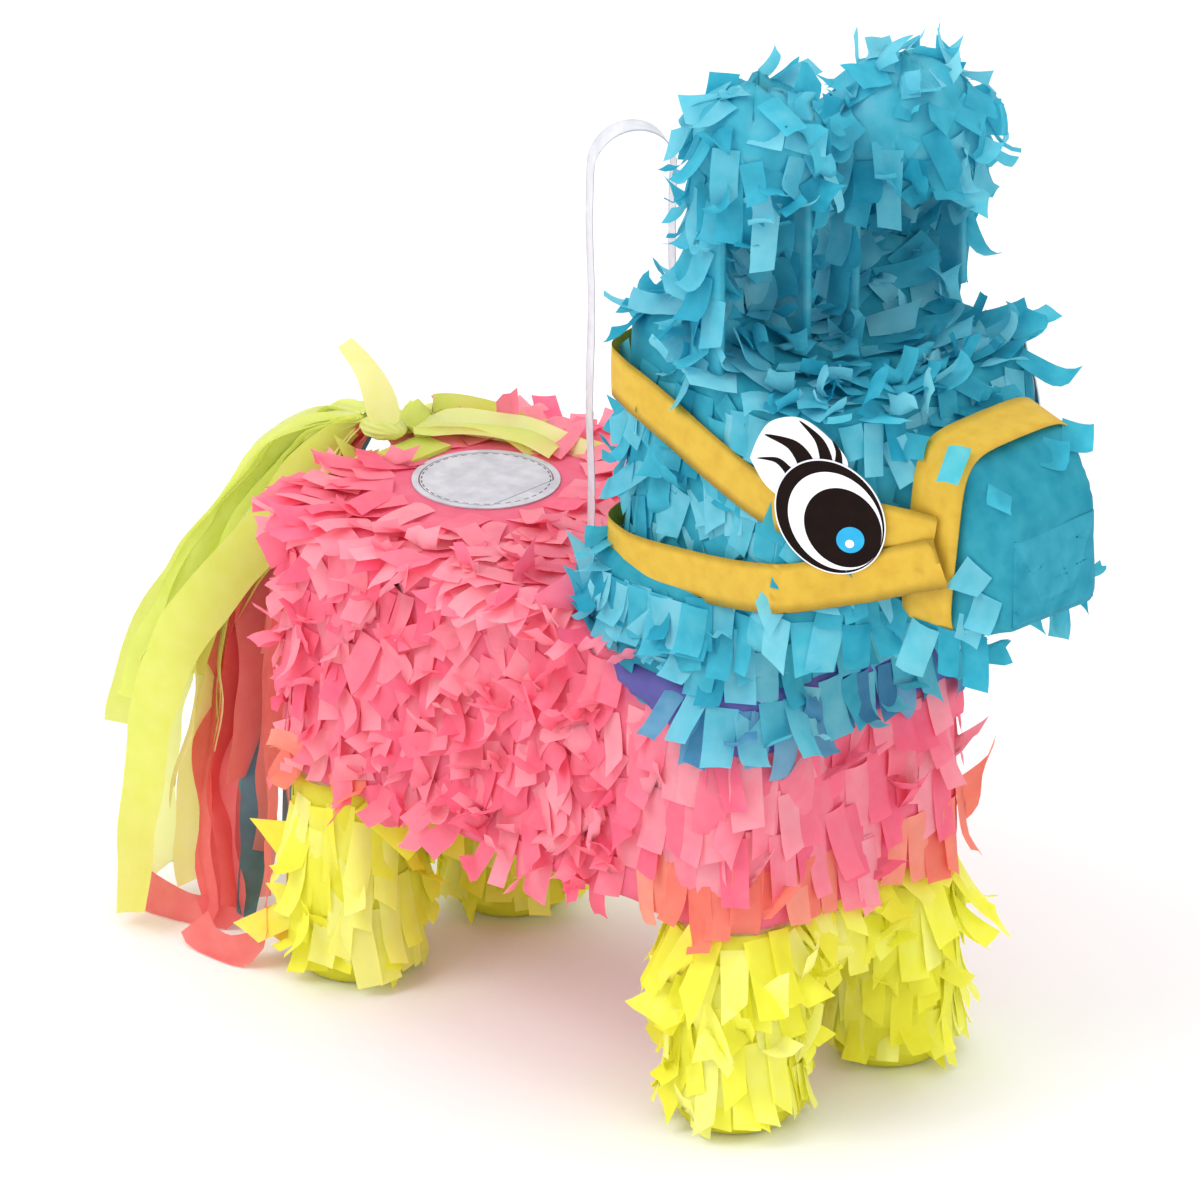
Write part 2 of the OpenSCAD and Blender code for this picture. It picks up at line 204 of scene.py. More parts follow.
# Printed or dyed wove paper: flat colour with a faint mottle and a fibrous tooth.
def wovePaper(name, colour, shadow, rough=0.6, grain=0.8, depth=0.12, shine=0.4):
    material, tree = newMaterial(name)
    place = addNode(tree, "ShaderNodeTexCoord").outputs["Object"]
    mottle = addNode(tree, "ShaderNodeTexNoise", {"Scale": 1 / (7 * mm), "Detail": 4}, {"Vector": place})
    ramp = addNode(tree, "ShaderNodeValToRGB", links={"Fac": mottle.outputs["Fac"]})
    ramp.color_ramp.elements[0].position = 0.3
    ramp.color_ramp.elements[0].color = toLinear(shadow)
    ramp.color_ramp.elements[1].position = 0.62
    ramp.color_ramp.elements[1].color = toLinear(colour)
    tooth = addNode(tree, "ShaderNodeTexNoise", {"Scale": 1 / (grain * mm), "Detail": 5}, {"Vector": place})
    bump = addNode(tree, "ShaderNodeBump", {"Strength": 0.3, "Distance": depth * mm},
                   {"Height": tooth.outputs["Fac"]})
    surface = addNode(tree, "ShaderNodeBsdfPrincipled",
                      {"Roughness": rough, "IOR": 1.47, "Specular IOR Level": shine},
                      {"Base Color": ramp.outputs["Color"], "Normal": bump.outputs["Normal"]})
    addNode(tree, "ShaderNodeOutputMaterial", links={"Surface": surface.outputs["BSDF"]})
    return material


# Head, neck and ears: strips fold into deep blue-green and glow pale where the light comes through; the deep
# is painted shade and the pale is painted light
turquoiseTissue = tissuePaper("turquoiseTissue", "#8CDDEC", "#4EC5DB", "#1C9FBD")
# Trunk: candy pink, with painted light making raised strips paler and painted shade making the sheet between
# them deeper
pinkTissue = tissuePaper("pinkTissue", "#FFB3C0", "#FF8FA6", "#FB6F92")
# Lowest strips over the legs: pink over lemon reads as coral
coralTissue = tissuePaper("coralTissue", "#FFB7A2", "#FC9A86", "#F67F70")
# Legs: fluorescent lemon, nearly shadowless, so its painted shade is barely darker than its full colour
lemonTissue = tissuePaper("lemonTissue", "#FFFF9C", "#FDFC5E", "#F4F040")
# Lowest collar row: turquoise over violet reads as a duller blue
collarTissue = tissuePaper("collarTissue", "#84BEDA", "#589FC6", "#3C84B2")
# Sheet under the collar: violet in the gaps
violetTissue = tissuePaper("violetTissue", "#8C88CE", "#7470BE", "#5C58A8")
# Streamers: single thin sheets, so more light passes than through the fringe
streamerYellow = tissuePaper("streamerYellow", "#F4F7BC", "#EEF396", "#E4EC74", through=0.45)
streamerCoral = tissuePaper("streamerCoral", "#FBA6A4", "#F58482", "#EE6E70", through=0.5)
streamerTeal = tissuePaper("streamerTeal", "#8FB8C6", "#6A9AA8", "#4A7E8E", through=0.42)
# Dyed wove paper: flat ochre straps with a dull surface
strapPaper = wovePaper("strapPaper", "#D2AC36", "#C99F2D")
# Printed card: ink with next to no shine, clean white, a clear blue iris
eyeBlack = wovePaper("eyeInk", "#1A0C08", "#130806", rough=0.5, shine=0.1)
eyeWhite = wovePaper("eyeCard", "#F6F7FB", "#ECEDF4", rough=0.4)
eyeBlue = wovePaper("eyeBlueInk", "#1FB0E2", "#179FD2", rough=0.3)
# Unbleached corrugated board: brown, rough, with a coarse fibre
brownBoard = wovePaper("brownBoard", "#B9966A", "#A07D52", rough=0.85, grain=1.6, depth=0.3)
# Extruded polypropylene band: off-white with a soft sheen
bandPlastic = wovePaper("bandPolypropylene", "#D8D8DE", "#C8C8D0", rough=0.35)


# Soft forms that the fringe is glued on

def boxBlock(lo, hi, sideRadius, rimRadius):
    bm = bmesh.new()
    bmesh.ops.create_cube(bm, size=1)
    size = Vector(hi) - Vector(lo)
    bmesh.ops.scale(bm, vec=size, verts=bm.verts)
    bmesh.ops.translate(bm, vec=(Vector(hi) + Vector(lo)) / 2, verts=bm.verts)
    upright = [e for e in bm.edges if abs(e.verts[0].co.z - e.verts[1].co.z) > size.z / 2]
    bmesh.ops.bevel(bm, geom=upright, offset=sideRadius, affect="EDGES", segments=8, profile=0.5, material=-1)
    rims = [e for e in bm.edges if abs(e.verts[0].co.z - e.verts[1].co.z) < mm / 10 and len(e.link_faces) == 2
            and abs(e.link_faces[0].normal.z - e.link_faces[1].normal.z) > 0.5]
    bmesh.ops.bevel(bm, geom=rims, offset=rimRadius, affect="EDGES", segments=4, profile=0.5, material=-1)
    return bm


def joinInto(bm, other):
    mesh = bpy.data.meshes.new("joined")
    other.to_mesh(mesh)
    other.free()
    bm.from_mesh(mesh)
    bpy.data.meshes.remove(mesh)


# Remeshes a closed block to even quads and gives it the soft, uneven swell of papered card
def soften(bm, voxel, swell, swellSize, seed, smoothing=4):
    mesh = bpy.data.meshes.new("soft")
    bm.to_mesh(mesh)
    bm.free()
    source = bpy.data.objects.new("soft", mesh)
    bpy.context.scene.collection.objects.link(source)
    remesh = source.modifiers.new("remesh", "REMESH")
    remesh.mode = "VOXEL"
    remesh.voxel_size = voxel
    smooth = source.modifiers.new("smooth", "SMOOTH")
    smooth.iterations = smoothing
    smooth.factor = 0.5
    even = bmesh.new()
    even.from_object(source, bpy.context.evaluated_depsgraph_get())
    bpy.data.objects.remove(source)
    bpy.data.meshes.remove(mesh)
    even.normal_update()
    shift = Vector((seed * 3.1, seed * 1.7, seed * 2.3))
    for v in even.verts:
        v.co += v.normal * swell * noise.noise(v.co / swellSize + shift)
    even.normal_update()
    return even


# Tongues of cut tissue

# One tongue: a small sheet glued along its root. Each of its long lines bends by itself, so that
# folds may run aslant. Angles in a look are in degrees, and pairs are a range or a mean and a spread.
tongueSet = {"columns": 3, "rows": 7, "flatLift": 3.5, "flatTip": 5, "flatLength": 0.85,
             "crumpleSize": 6.5 * mm}


def addTongue(bm, tintLayer, root, out, down, look, rng, flat=False, materialIndex=0):
    rows, columns = tongueSet["rows"], tongueSet["columns"]
    width = look["width"] * rng.uniform(0.86, 1.2)
    length = look["length"] * rng.uniform(1 - look["uneven"], 1 + look["uneven"])
    lift = math.radians(rng.uniform(*look["lift"]))
    curl = math.radians(rng.gauss(*look["curl"]))
    tip = math.radians(rng.gauss(*look.get("tip", (4, 16))))
    sway = math.radians(rng.gauss(0, look["sway"]))
    twist = math.radians(rng.gauss(0, look["twist"]))
    fold, foldAt, skew = 0.0, 2.0, 0.0
    if rng.random() < look["folded"]:
        fold = math.radians(rng.uniform(50, 150))
        foldAt = rng.uniform(0.4, 0.82)
        skew = rng.uniform(-0.45, 0.45)
    if rng.random() < look["wild"]:
        curl += math.radians(rng.uniform(15, 50))
        sway += math.radians(rng.uniform(-48, 48))
        twist += math.radians(rng.uniform(-35, 35))
    if flat:
        curl, fold, twist = 0.0, 0.0, 0.0
        lift, tip = math.radians(tongueSet["flatLift"]), math.radians(tongueSet["flatTip"])
        length *= tongueSet["flatLength"]
    camber = rng.uniform(-0.1, 0.14) * width
    if rng.random() > look.get("torn", 0.15):
        slant = rng.gauss(0, 0.04)
    else:
        slant = rng.choice((-1, 1)) * rng.uniform(0.1, 0.24)
    crumple = (0.25 if flat else rng.uniform(0.2, 1.0)) * mm
    run = Matrix.Rotation(sway, 3, out) @ down
    across = out.cross(run).normalized()
    made = bmesh.ops.create_grid(bm, x_segments=columns, y_segments=rows, size=0.5)["verts"]
    stations = {}
    for column in range(columns + 1):
        u = column / columns - 0.5
        place = root.copy()
        long = length * (1 + slant * u * 2)
        for i in range(rows + 1):
            v = i / rows
            angle = lift + curl * v ** 1.6 + tip * max(0.0, (v - 0.55) / 0.45) ** 1.5
            angle += fold if v > foldAt + skew * u else 0
            tangent = run * math.cos(angle) + out * math.sin(angle)
            facing = out * math.cos(angle) - run * math.sin(angle)
            if i:
                place = place + tangent * (long / rows)
            turn = Matrix.Rotation(twist * v, 3, run)
            aside = (turn @ across) * (u * width * (1 - 0.06 * v))
            stations[column, i] = place + aside + facing * camber * (1 - 4 * u * u)
    # each tongue's place between painted shade and painted light, picked at random
    shade = rng.random()
    glint = rng.random()
    shift = Vector((rng.random(), rng.random(), rng.random())) * 40
    for vert in made:
        v = 0.5 - vert.co.y
        spot = stations[round((vert.co.x + 0.5) * columns), round(v * rows)]
        vert.co = spot + out * noise.noise(spot / tongueSet["crumpleSize"] + shift) * crumple * v
        vert[tintLayer] = (shade, v, glint, 1)
    if materialIndex:
        for face in {f for vert in made for f in vert.link_faces}:
            face.material_index = materialIndex


# Points and normals around a form, evenly spaced; z is a height or gives the height at x
def ringAround(surface, centre, z, spacing, start=0.0):
    heightAt = z if callable(z) else (lambda x: z)
    hits = []
    rays = 240
    for i in range(rays + 1):
        a = 2 * math.pi * i / rays
        way = Vector((math.cos(a), math.sin(a), 0))
        spot = Vector((centre[0], centre[1], 0)) + way * 70 * mm
        # a height that depends on x is settled by a second ray
        for _ in range(2 if callable(z) else 1):
            origin = Vector((centre[0], centre[1], heightAt(spot.x))) + way * 0.4
            hit, normal, _, _ = surface.ray_cast(origin, -way)
            if hit is None:
                break
            spot = hit
        if hit is not None:
            hits.append((hit, normal if normal.dot(way) > 0 else -normal))
    points = []
    travelled = -start
    for (p, n), (q, m) in zip(hits, hits[1:]):
        step = (q - p).length
        if step > 0.03:
            continue
        while travelled < step:
            if travelled >= 0:
                share = travelled / step if step > 0 else 0
                points.append((p.lerp(q, share), n.lerp(m, share).normalized()))
            travelled += spacing
        travelled -= step
    return points


def hangDown(normal):
    out = Vector((normal.x, normal.y, min(normal.z, 0.6)))
    out = out.normalized() if out.length > 0.1 else Vector((1, 0, 0))
    down = Vector((0, 0, -1))
    down = (down - out * down.dot(out)).normalized()
    return out, down


def newSheetMesh():
    bm = bmesh.new()
    return bm, bm.verts.layers.float_color.new("tint")


def fringeRow(bm, tintLayer, surface, centre, z, look, rng, keep=None, flatAt=None, materialAt=None):
    for spot, normal in ringAround(surface, centre, z, look["width"] * look["pitch"],
                                   rng.random() * look["width"]):
        spot = spot + Vector((0, 0, rng.gauss(0, look["ragged"])))
        if keep and not keep(spot):
            continue
        out, down = hangDown(normal)
        reach = [spot + down * look["length"] * share for share in (0, 0.4, 0.7, 1.0)]
        flat = bool(flatAt and any(flatAt(place) for place in reach))
        index = materialAt(spot, rng) if materialAt else 0
        addTongue(bm, tintLayer, spot + out * rng.uniform(0.2, 1.0) * mm, out, down, look, rng, flat, index)


# Tongues over a level top: flow(spot) gives the way their free ends point
def fringeTop(bm, tintLayer, surface, lo, hi, look, rng, flow, keep=None):
    rowsY = int((hi[1] - lo[1]) / look["exposed"])
    rowsX = int((hi[0] - lo[0]) / (look["width"] * look["pitch"]))
    for j in range(rowsY + 1):
        for i in range(rowsX + 1):
            x = lo[0] + i * look["width"] * look["pitch"] + rng.gauss(0, 1.5 * mm)
            y = lo[1] + j * look["exposed"] + rng.gauss(0, 1.5 * mm)
            spot, normal, _, _ = surface.ray_cast(Vector((x, y, 1)), Vector((0, 0, -1)))
            if spot is None or abs(normal.z) < 0.35 or (keep and not keep(spot)):
                continue
            normal = normal if normal.z > 0 else -normal
            run = flow(spot, rng)
            run = (run - normal * run.dot(normal)).normalized()
            addTongue(bm, tintLayer, spot + normal * rng.uniform(0.2, 1.0) * mm, normal, run, look, rng)


addCamera(cameraSet)
addLights(lightSet, 1.0)


# Trunk

trunkSet = {
    "inset": 3.5 * mm, "sideRadius": 30 * mm, "rimRadius": 6 * mm, "voxel": 4 * mm, "swell": 1.8 * mm,
    "swellSize": 38 * mm, "rowStep": 10 * mm,
    "flank": {"width": 11 * mm, "pitch": 0.95, "length": 21.5 * mm, "uneven": 0.24, "lift": (3, 15),
              "curl": (3, 20), "tip": (10, 28), "sway": 25, "twist": 16, "folded": 0.34, "wild": 0.2,
              "ragged": 2.8 * mm},
    "chest": {"width": 13 * mm, "pitch": 0.84, "length": 31 * mm, "uneven": 0.12, "lift": (1, 5),
              "curl": (2, 9), "sway": 6, "twist": 7, "folded": 0.09, "wild": 0.02, "torn": 0.06,
              "ragged": 1.6 * mm},
    "back": {"width": 12 * mm, "pitch": 1.0, "length": 25 * mm, "uneven": 0.25, "lift": (1, 6),
             "curl": (2, 10), "sway": 24, "twist": 8, "folded": 0.12, "wild": 0.04, "exposed": 11 * mm},
    "chestEnds": (96, 114, 132, 148, 162), "firstRow": 12 * mm, "edge": 6 * mm,
}
trunkLo, trunkHi = [Vector(c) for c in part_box("trunk_fringe")]
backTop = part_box("back_fringe")[1][2]
labelLo, labelHi = [Vector(c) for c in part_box("label_rim")]
labelMiddle = (labelLo + labelHi) / 2
labelRadius = (labelHi.y - labelLo.y) / 2
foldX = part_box("fill_flap")[1][0]
fillRadius = (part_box("fill_flap")[1][1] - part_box("fill_flap")[0][1]) / 2
collarLo, collarHi = [Vector(c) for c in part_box("collar_fringe")]
neckLo, neckHi = [Vector(c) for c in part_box("neck_fringe")]
chestX = collarLo.x + 34 * mm


# Sets one place on the colour ramp for a whole sheet
def tintAll(form, shade):
    layer = form.verts.layers.float_color.new("tint")
    for v in form.verts:
        v[layer] = (shade, 0, 0, 1)


def fromLabel(spot):
    return (Vector((spot.x, spot.y)) - Vector((labelMiddle.x, labelMiddle.y))).length


def legBelow(spot):
    return any(abs(spot.x - x) < 36 * mm and abs(spot.y - y) < 36 * mm for x, y in legPlaces)


def makeTrunk(look):
    inset = Vector((1, 1, 0)) * look["inset"]
    block = boxBlock(trunkLo + inset - Vector((0, 0, 1.5 * mm)),
                     Vector((trunkHi.x, trunkHi.y, backTop - look["inset"])) - inset,
                     look["sideRadius"], look["rimRadius"])
    form = soften(block, look["voxel"], look["swell"], look["swellSize"], 1, smoothing=3)
    for v in form.verts:
        if v.normal.z > 0.5:
            # the sheet under the label lies level with it
            share = max(0.0, min(1.0, (labelRadius + 30 * mm - fromLabel(v.co)) / (18 * mm)))
            v.co.z += (backTop - 0.1 * mm - v.co.z) * share
    surface = BVHTree.FromBMesh(form)
    # painted shade: the sheet sits near the deep end of the ramp where it shows between the strips
    tintAll(form, 0.15)
    skin = addPiece("trunkTissueBase", form, [pinkTissue], "donkey",
                    ["trunk_fringe", "back_fringe", "belly_fringe"])
    openFillHole(skin)
    rng = random.Random(11)
    bm, tint = newSheetMesh()
    centre = ((trunkLo.x + trunkHi.x) / 2, 0)
    z = trunkLo.z + look["firstRow"]
    lowest = z + 2 * mm
    while z < backTop - 3 * mm:
        fringeRow(bm, tint, surface, centre, z, look["flank"], rng,
                  lambda spot: spot.x < chestX and not (spot.x > neckLo.x and spot.z > collarHi.z - 6 * mm),
                  materialAt=lambda spot, r: 1 if z < lowest and legBelow(spot) and r.random() < 0.8 else 0)
        z += look["rowStep"] * rng.uniform(0.85, 1.15)
    addPiece("flankFringe", bm, [pinkTissue, coralTissue], "donkey")
    bm, tint = newSheetMesh()
    for number, end in enumerate(look["chestEnds"]):
        fringeRow(bm, tint, surface, centre, end * mm + look["chest"]["length"], look["chest"], rng,
                  lambda spot: spot.x >= chestX,
                  materialAt=lambda spot, r: 1 if number == 0 and legBelow(spot) else 0)
    addPiece("chestFringe", bm, [pinkTissue, coralTissue], "donkey")
    bm, tint = newSheetMesh()

    def flow(spot, r):
        side = 1 if spot.y > 0 else -1
        if spot.x > labelMiddle.x and fromLabel(spot) < labelRadius + 26 * mm:
            # a fan round the label's front edge
            outwards = Vector((spot.x - labelMiddle.x, spot.y, 0)).normalized()
            return outwards + Vector((r.gauss(0, 0.2), r.gauss(0, 0.2), 0))
        return Vector((-0.5 + r.gauss(0, 0.3), side * min(1, abs(spot.y) / (30 * mm)) + r.gauss(0, 0.2), 0))

    def keepBack(spot):
        return fromLabel(spot) > labelRadius + 3 * mm and spot.x < neckLo.x + 6 * mm
    edge = look["edge"]
    fringeTop(bm, tint, surface, (trunkLo.x + edge, trunkLo.y + edge), (neckLo.x + edge, trunkHi.y - edge),
              look["back"], rng, flow, keepBack)
    addPiece("backFringe", bm, [pinkTissue], "donkey")


# The tissue skin becomes a thin shell with the fill hole cut through it
def openFillHole(skin):
    shell = skin.modifiers.new("shell", "SOLIDIFY")
    shell.thickness = 1.0 * mm
    shell.offset = -1
    cutter = bmesh.new()
    bmesh.ops.create_cone(cutter, cap_ends=True, segments=64, radius1=fillRadius + 0.5 * mm,
                          radius2=fillRadius + 0.5 * mm, depth=30 * mm)
    bmesh.ops.translate(cutter, vec=(labelMiddle.x, 0, backTop), verts=cutter.verts)
    bmesh.ops.bisect_plane(cutter, geom=cutter.verts[:] + cutter.edges[:] + cutter.faces[:],
                           plane_co=(foldX + 0.4 * mm, 0, 0), plane_no=(1, 0, 0), clear_outer=True)
    bmesh.ops.holes_fill(cutter, edges=[e for e in cutter.edges if e.is_boundary], sides=0)
    mesh = bpy.data.meshes.new("cutter")
    cutter.to_mesh(mesh)
    cutter.free()
    tool = bpy.data.objects.new("cutter", mesh)
    bpy.context.scene.collection.objects.link(tool)
    cut = skin.modifiers.new("hole", "BOOLEAN")
    cut.object = tool
    cut.solver = "EXACT"
    graph = bpy.context.evaluated_depsgraph_get()
    opened = bpy.data.meshes.new_from_object(skin.evaluated_get(graph), depsgraph=graph)
    skin.modifiers.clear()
    old = skin.data
    skin.data = opened
    bpy.data.meshes.remove(old)
    bpy.data.objects.remove(tool)


# Legs

legNames = ["front_left", "front_right", "rear_left", "rear_right"]
legPlaces = []
for legName in legNames:
    legLo, legHi = [Vector(c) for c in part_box(legName + "_leg_fringe")]
    legPlaces.append(((legLo.x + legHi.x) / 2, (legLo.y + legHi.y) / 2))

legSet = {
    "radius": 28 * mm, "swell": 1.4 * mm, "swellSize": 30 * mm, "rowStep": 11.5 * mm,
    "fringe": {"width": 11.5 * mm, "pitch": 0.86, "length": 33 * mm, "uneven": 0.15, "lift": (2, 8),
               "curl": (2, 9), "tip": (4, 16), "sway": 9, "twist": 9, "folded": 0.12, "wild": 0.07,
               "ragged": 2.2 * mm},
    "bridge": {"from": 8 * mm, "to": 19 * mm, "drop": 22 * mm, "rise": 4 * mm, "rows": (6, 15, 24),
               "length": 24 * mm, "side": 8 * mm},
}


def makeLegs(look):
    for number, (legName, place) in enumerate(zip(legNames, legPlaces)):
        lo, hi = [Vector(c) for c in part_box(legName + "_leg_fringe")]
        block = bmesh.new()
        bmesh.ops.create_cone(block, cap_ends=True, segments=40, radius1=look["radius"],
                              radius2=look["radius"], depth=hi.z - lo.z)
        bmesh.ops.translate(block, vec=(place[0], place[1], (hi.z + lo.z) / 2), verts=block.verts)
        form = soften(block, 3.5 * mm, look["swell"], look["swellSize"], 5 + number, smoothing=2)
        surface = BVHTree.FromBMesh(form)
        # painted shade: the sheet sits near the deep end of the ramp where it shows between the strips
        tintAll(form, 0.15)
        plainName = legName.title().replace("_", "")
        plainName = plainName[0].lower() + plainName[1:]
        addPiece(plainName + "LegTissueBase", form, [lemonTissue], "donkey",
                 [legName + "_leg_fringe"])
        rng = random.Random(40 + number)
        bm, tint = newSheetMesh()
        z = lo.z + 20 * mm
        while z < hi.z + 2 * mm:
            row = dict(look["fringe"])
            row["length"] = min(look["fringe"]["length"], (z - lo.z) * 1.02)
            fringeRow(bm, tint, surface, place, min(z, hi.z - 4 * mm), row, rng)
            z += look["rowStep"] * rng.uniform(0.85, 1.15)
        for v in bm.verts:
            v.co.z = max(v.co.z, 0.8 * mm)
        addPiece(plainName + "LegFringe", bm, [lemonTissue], "donkey")


# The front legs share one sheet under the chest, so their tongues close the gap between them
def makeLegBridge(look):
    bridge = look["bridge"]
    legX, legY = max(x for x, y in legPlaces), max(abs(y) for x, y in legPlaces)
    lo = Vector((legX + bridge["from"], -legY, trunkLo.z - bridge["drop"]))
    hi = Vector((legX + bridge["to"], legY, trunkLo.z + bridge["rise"]))
    block = boxBlock(lo, hi, 4 * mm, 3 * mm)
    form = soften(block, 3 * mm, 0.8 * mm, 24 * mm, 9, smoothing=1)
    surface = BVHTree.FromBMesh(form)
    # painted shade: the sheet sits near the deep end of the ramp where it shows between the strips
    tintAll(form, 0.15)
    addPiece("frontLegBridgeBase", form, [lemonTissue], "donkey")
    rng = random.Random(47)
    bm, tint = newSheetMesh()
    row = dict(look["fringe"], length=bridge["length"])
    for z in bridge["rows"]:
        fringeRow(bm, tint, surface, (legX, 0), lo.z + z * mm, row, rng,
                  lambda spot: spot.x > legX + 10 * mm and abs(spot.y) < legY - bridge["side"])
    addPiece("frontLegBridgeFringe", bm, [lemonTissue], "donkey")


# Neck and head

headLo, headHi = [Vector(c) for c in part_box("head_fringe")]
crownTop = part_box("crown_fringe")[1][2]
noseLo, noseHi = [Vector(c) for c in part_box("nose_panel")]
muzzleLo, muzzleHi = [Vector(c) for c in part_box("muzzle_fringe")]
noseband = [Vector(c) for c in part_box("noseband")]
eyeBox = [Vector(c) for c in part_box("right_eye")]
eyeMiddle = (eyeBox[0] + eyeBox[1]) / 2

headSet = {
    "inset": 3.5 * mm, "sideRadius": 28 * mm, "rimRadius": 5 * mm, "swell": 1.2 * mm, "swellSize": 34 * mm,
    "rowStep": 10.5 * mm, "mound": 30 * mm, "moundAt": (104 * mm, 46 * mm), "moundSize": (34 * mm, 32 * mm),
    "cheekRun": 32 * mm, "cheekFront": 49 * mm,
    "fringe": {"width": 11.5 * mm, "pitch": 0.95, "length": 23 * mm, "uneven": 0.24, "lift": (3, 12),
               "curl": (8, 20), "tip": (32, 45), "sway": 16, "twist": 14, "folded": 0.26, "wild": 0.16,
               "ragged": 2.2 * mm},
    "crown": {"width": 12 * mm, "pitch": 1.0, "length": 24 * mm, "uneven": 0.25, "lift": (3, 14),
              "curl": (14, 26), "tip": (25, 45), "sway": 40, "twist": 22, "folded": 0.25, "wild": 0.18,
              "exposed": 9.5 * mm},
    "muzzle": {"width": 13 * mm, "pitch": 0.96, "length": 22 * mm, "uneven": 0.2, "lift": (2, 7),
               "curl": (4, 14), "tip": (8, 22), "sway": 9, "twist": 10, "folded": 0.12, "wild": 0.05,
               "ragged": 1.5 * mm},
    "collar": {"width": 12.5 * mm, "pitch": 0.9, "length": 28 * mm, "uneven": 0.14, "lift": (3, 8),
               "curl": (5, 12), "tip": (10, 28), "sway": 7, "twist": 9, "folded": 0.12, "wild": 0.04,
               "torn": 0.06, "ragged": 1.6 * mm},
    "napeRows": (236, 243, 251), "muzzleRows": (267, 277, 290),
    # where single tongues stand on the nose's top, and which way they point
    "noseTongues": (((252, 9, 326), (0.5, 0.8, 0)), ((257, -22, 326), (1, -0.5, 0)),
                    ((250, 24, 327), (0.7, 0.7, 0))),
    # cheeks, nose root and nose end: place along the head, half width, low and top
    "muzzleParts": ((205, 40.2, 253.5, 340), (247, 31.6, 254.5, 338), (269, 27.2, 263, 309.5)),
}


def headBlock(look):
    inset = Vector((1, 1, 0.3)) * look["inset"]
    bm = boxBlock(headLo + inset, Vector((headHi.x, headHi.y, crownTop)) - Vector((1, 1, 1)) * look["inset"],
                  look["sideRadius"], look["rimRadius"])
    cheekX = headHi.x - look["cheekRun"]
    for v in bm.verts:
        if v.co.x > cheekX:
            share = (v.co.x - cheekX) / (headHi.x - cheekX)
            half = headHi.y * (1 - share) + look["cheekFront"] * share
            v.co.y = max(-half, min(half, v.co.y * half / (headHi.y * 0.74)))
    return bm


# The muzzle narrows and its top slopes down to the flat nose
def muzzleBlock(look):
    bm = bmesh.new()
    bmesh.ops.create_cube(bm, size=1)
    bmesh.ops.subdivide_edges(bm, edges=[e for e in bm.edges if abs(e.verts[0].co.x - e.verts[1].co.x) > 0.5],
                              cuts=1, use_grid_fill=True)
    for v in bm.verts:
        x, half, low, top = look["muzzleParts"][round((v.co.x + 0.5) * 2)]
        v.co = Vector((x, half if v.co.y > 0 else -half, top if v.co.z > 0 else low)) * mm
    bmesh.ops.bevel(bm, geom=bm.edges[:], offset=2.5 * mm, affect="EDGES", segments=2, profile=0.5,
                    material=-1)
    return bm


def neckBlock(look):
    lo = Vector((neckLo.x + 3.5 * mm, neckLo.y + 3 * mm, collarLo.z + 12 * mm))
    hi = Vector((neckHi.x + 2 * mm, neckHi.y - 3 * mm, neckHi.z + 9 * mm))
    return boxBlock(lo, hi, look["sideRadius"], 5 * mm)


# height of each strap's middle line against x, in mm
strapSet = {
    "cheek": {"line": ((60, 260), (111, 261.5), (155, 267.5), (184, 274), (212, 281), (240, 292)),
              "proud": 9.6 * mm, "front": 240, "lap": 1.2 * mm, "nodes": ["cheek_strap"]},
    "brow": {"line": ((60, 339), (75, 340), (92, 338), (118, 328), (155, 314), (184, 308), (209, 304),
                      (236, 300)),
             "proud": 8.1 * mm, "front": 235, "lap": 0.1 * mm, "nodes": ["brow_strap"]},
    "width": 22 * mm, "thick": 0.7 * mm,
}


def heightOn(line, x):
    x = max(line[0][0], min(line[-1][0], x / mm))
    for (x0, z0), (x1, z1) in zip(line, line[1:]):
        if x <= x1:
            return (z0 + (z1 - z0) * (x - x0) / (x1 - x0)) * mm
    return line[-1][1] * mm


def onBand(spot):
    return noseband[0].x - 7 * mm < spot.x < noseband[1].x + 3 * mm


def strapZone(spot):
    if spot.x > headHi.x + 2 * mm and onBand(spot):
        return True
    if spot.x > 0.15 and abs(spot.y) < 38 * mm:
        return False
    above = [spot.z - heightOn(strapSet[name]["line"], spot.x) for name in ("cheek", "brow")]
    if any(-14 * mm < height < 17 * mm for height in above):
        return True
    eyes = [Vector((eyeMiddle.x, side * abs(eyeMiddle.y), eyeMiddle.z + up))
            for side in (-1, 1) for up in (0, 26 * mm)]
    return any((spot - eye).length < 29 * mm for eye in eyes)


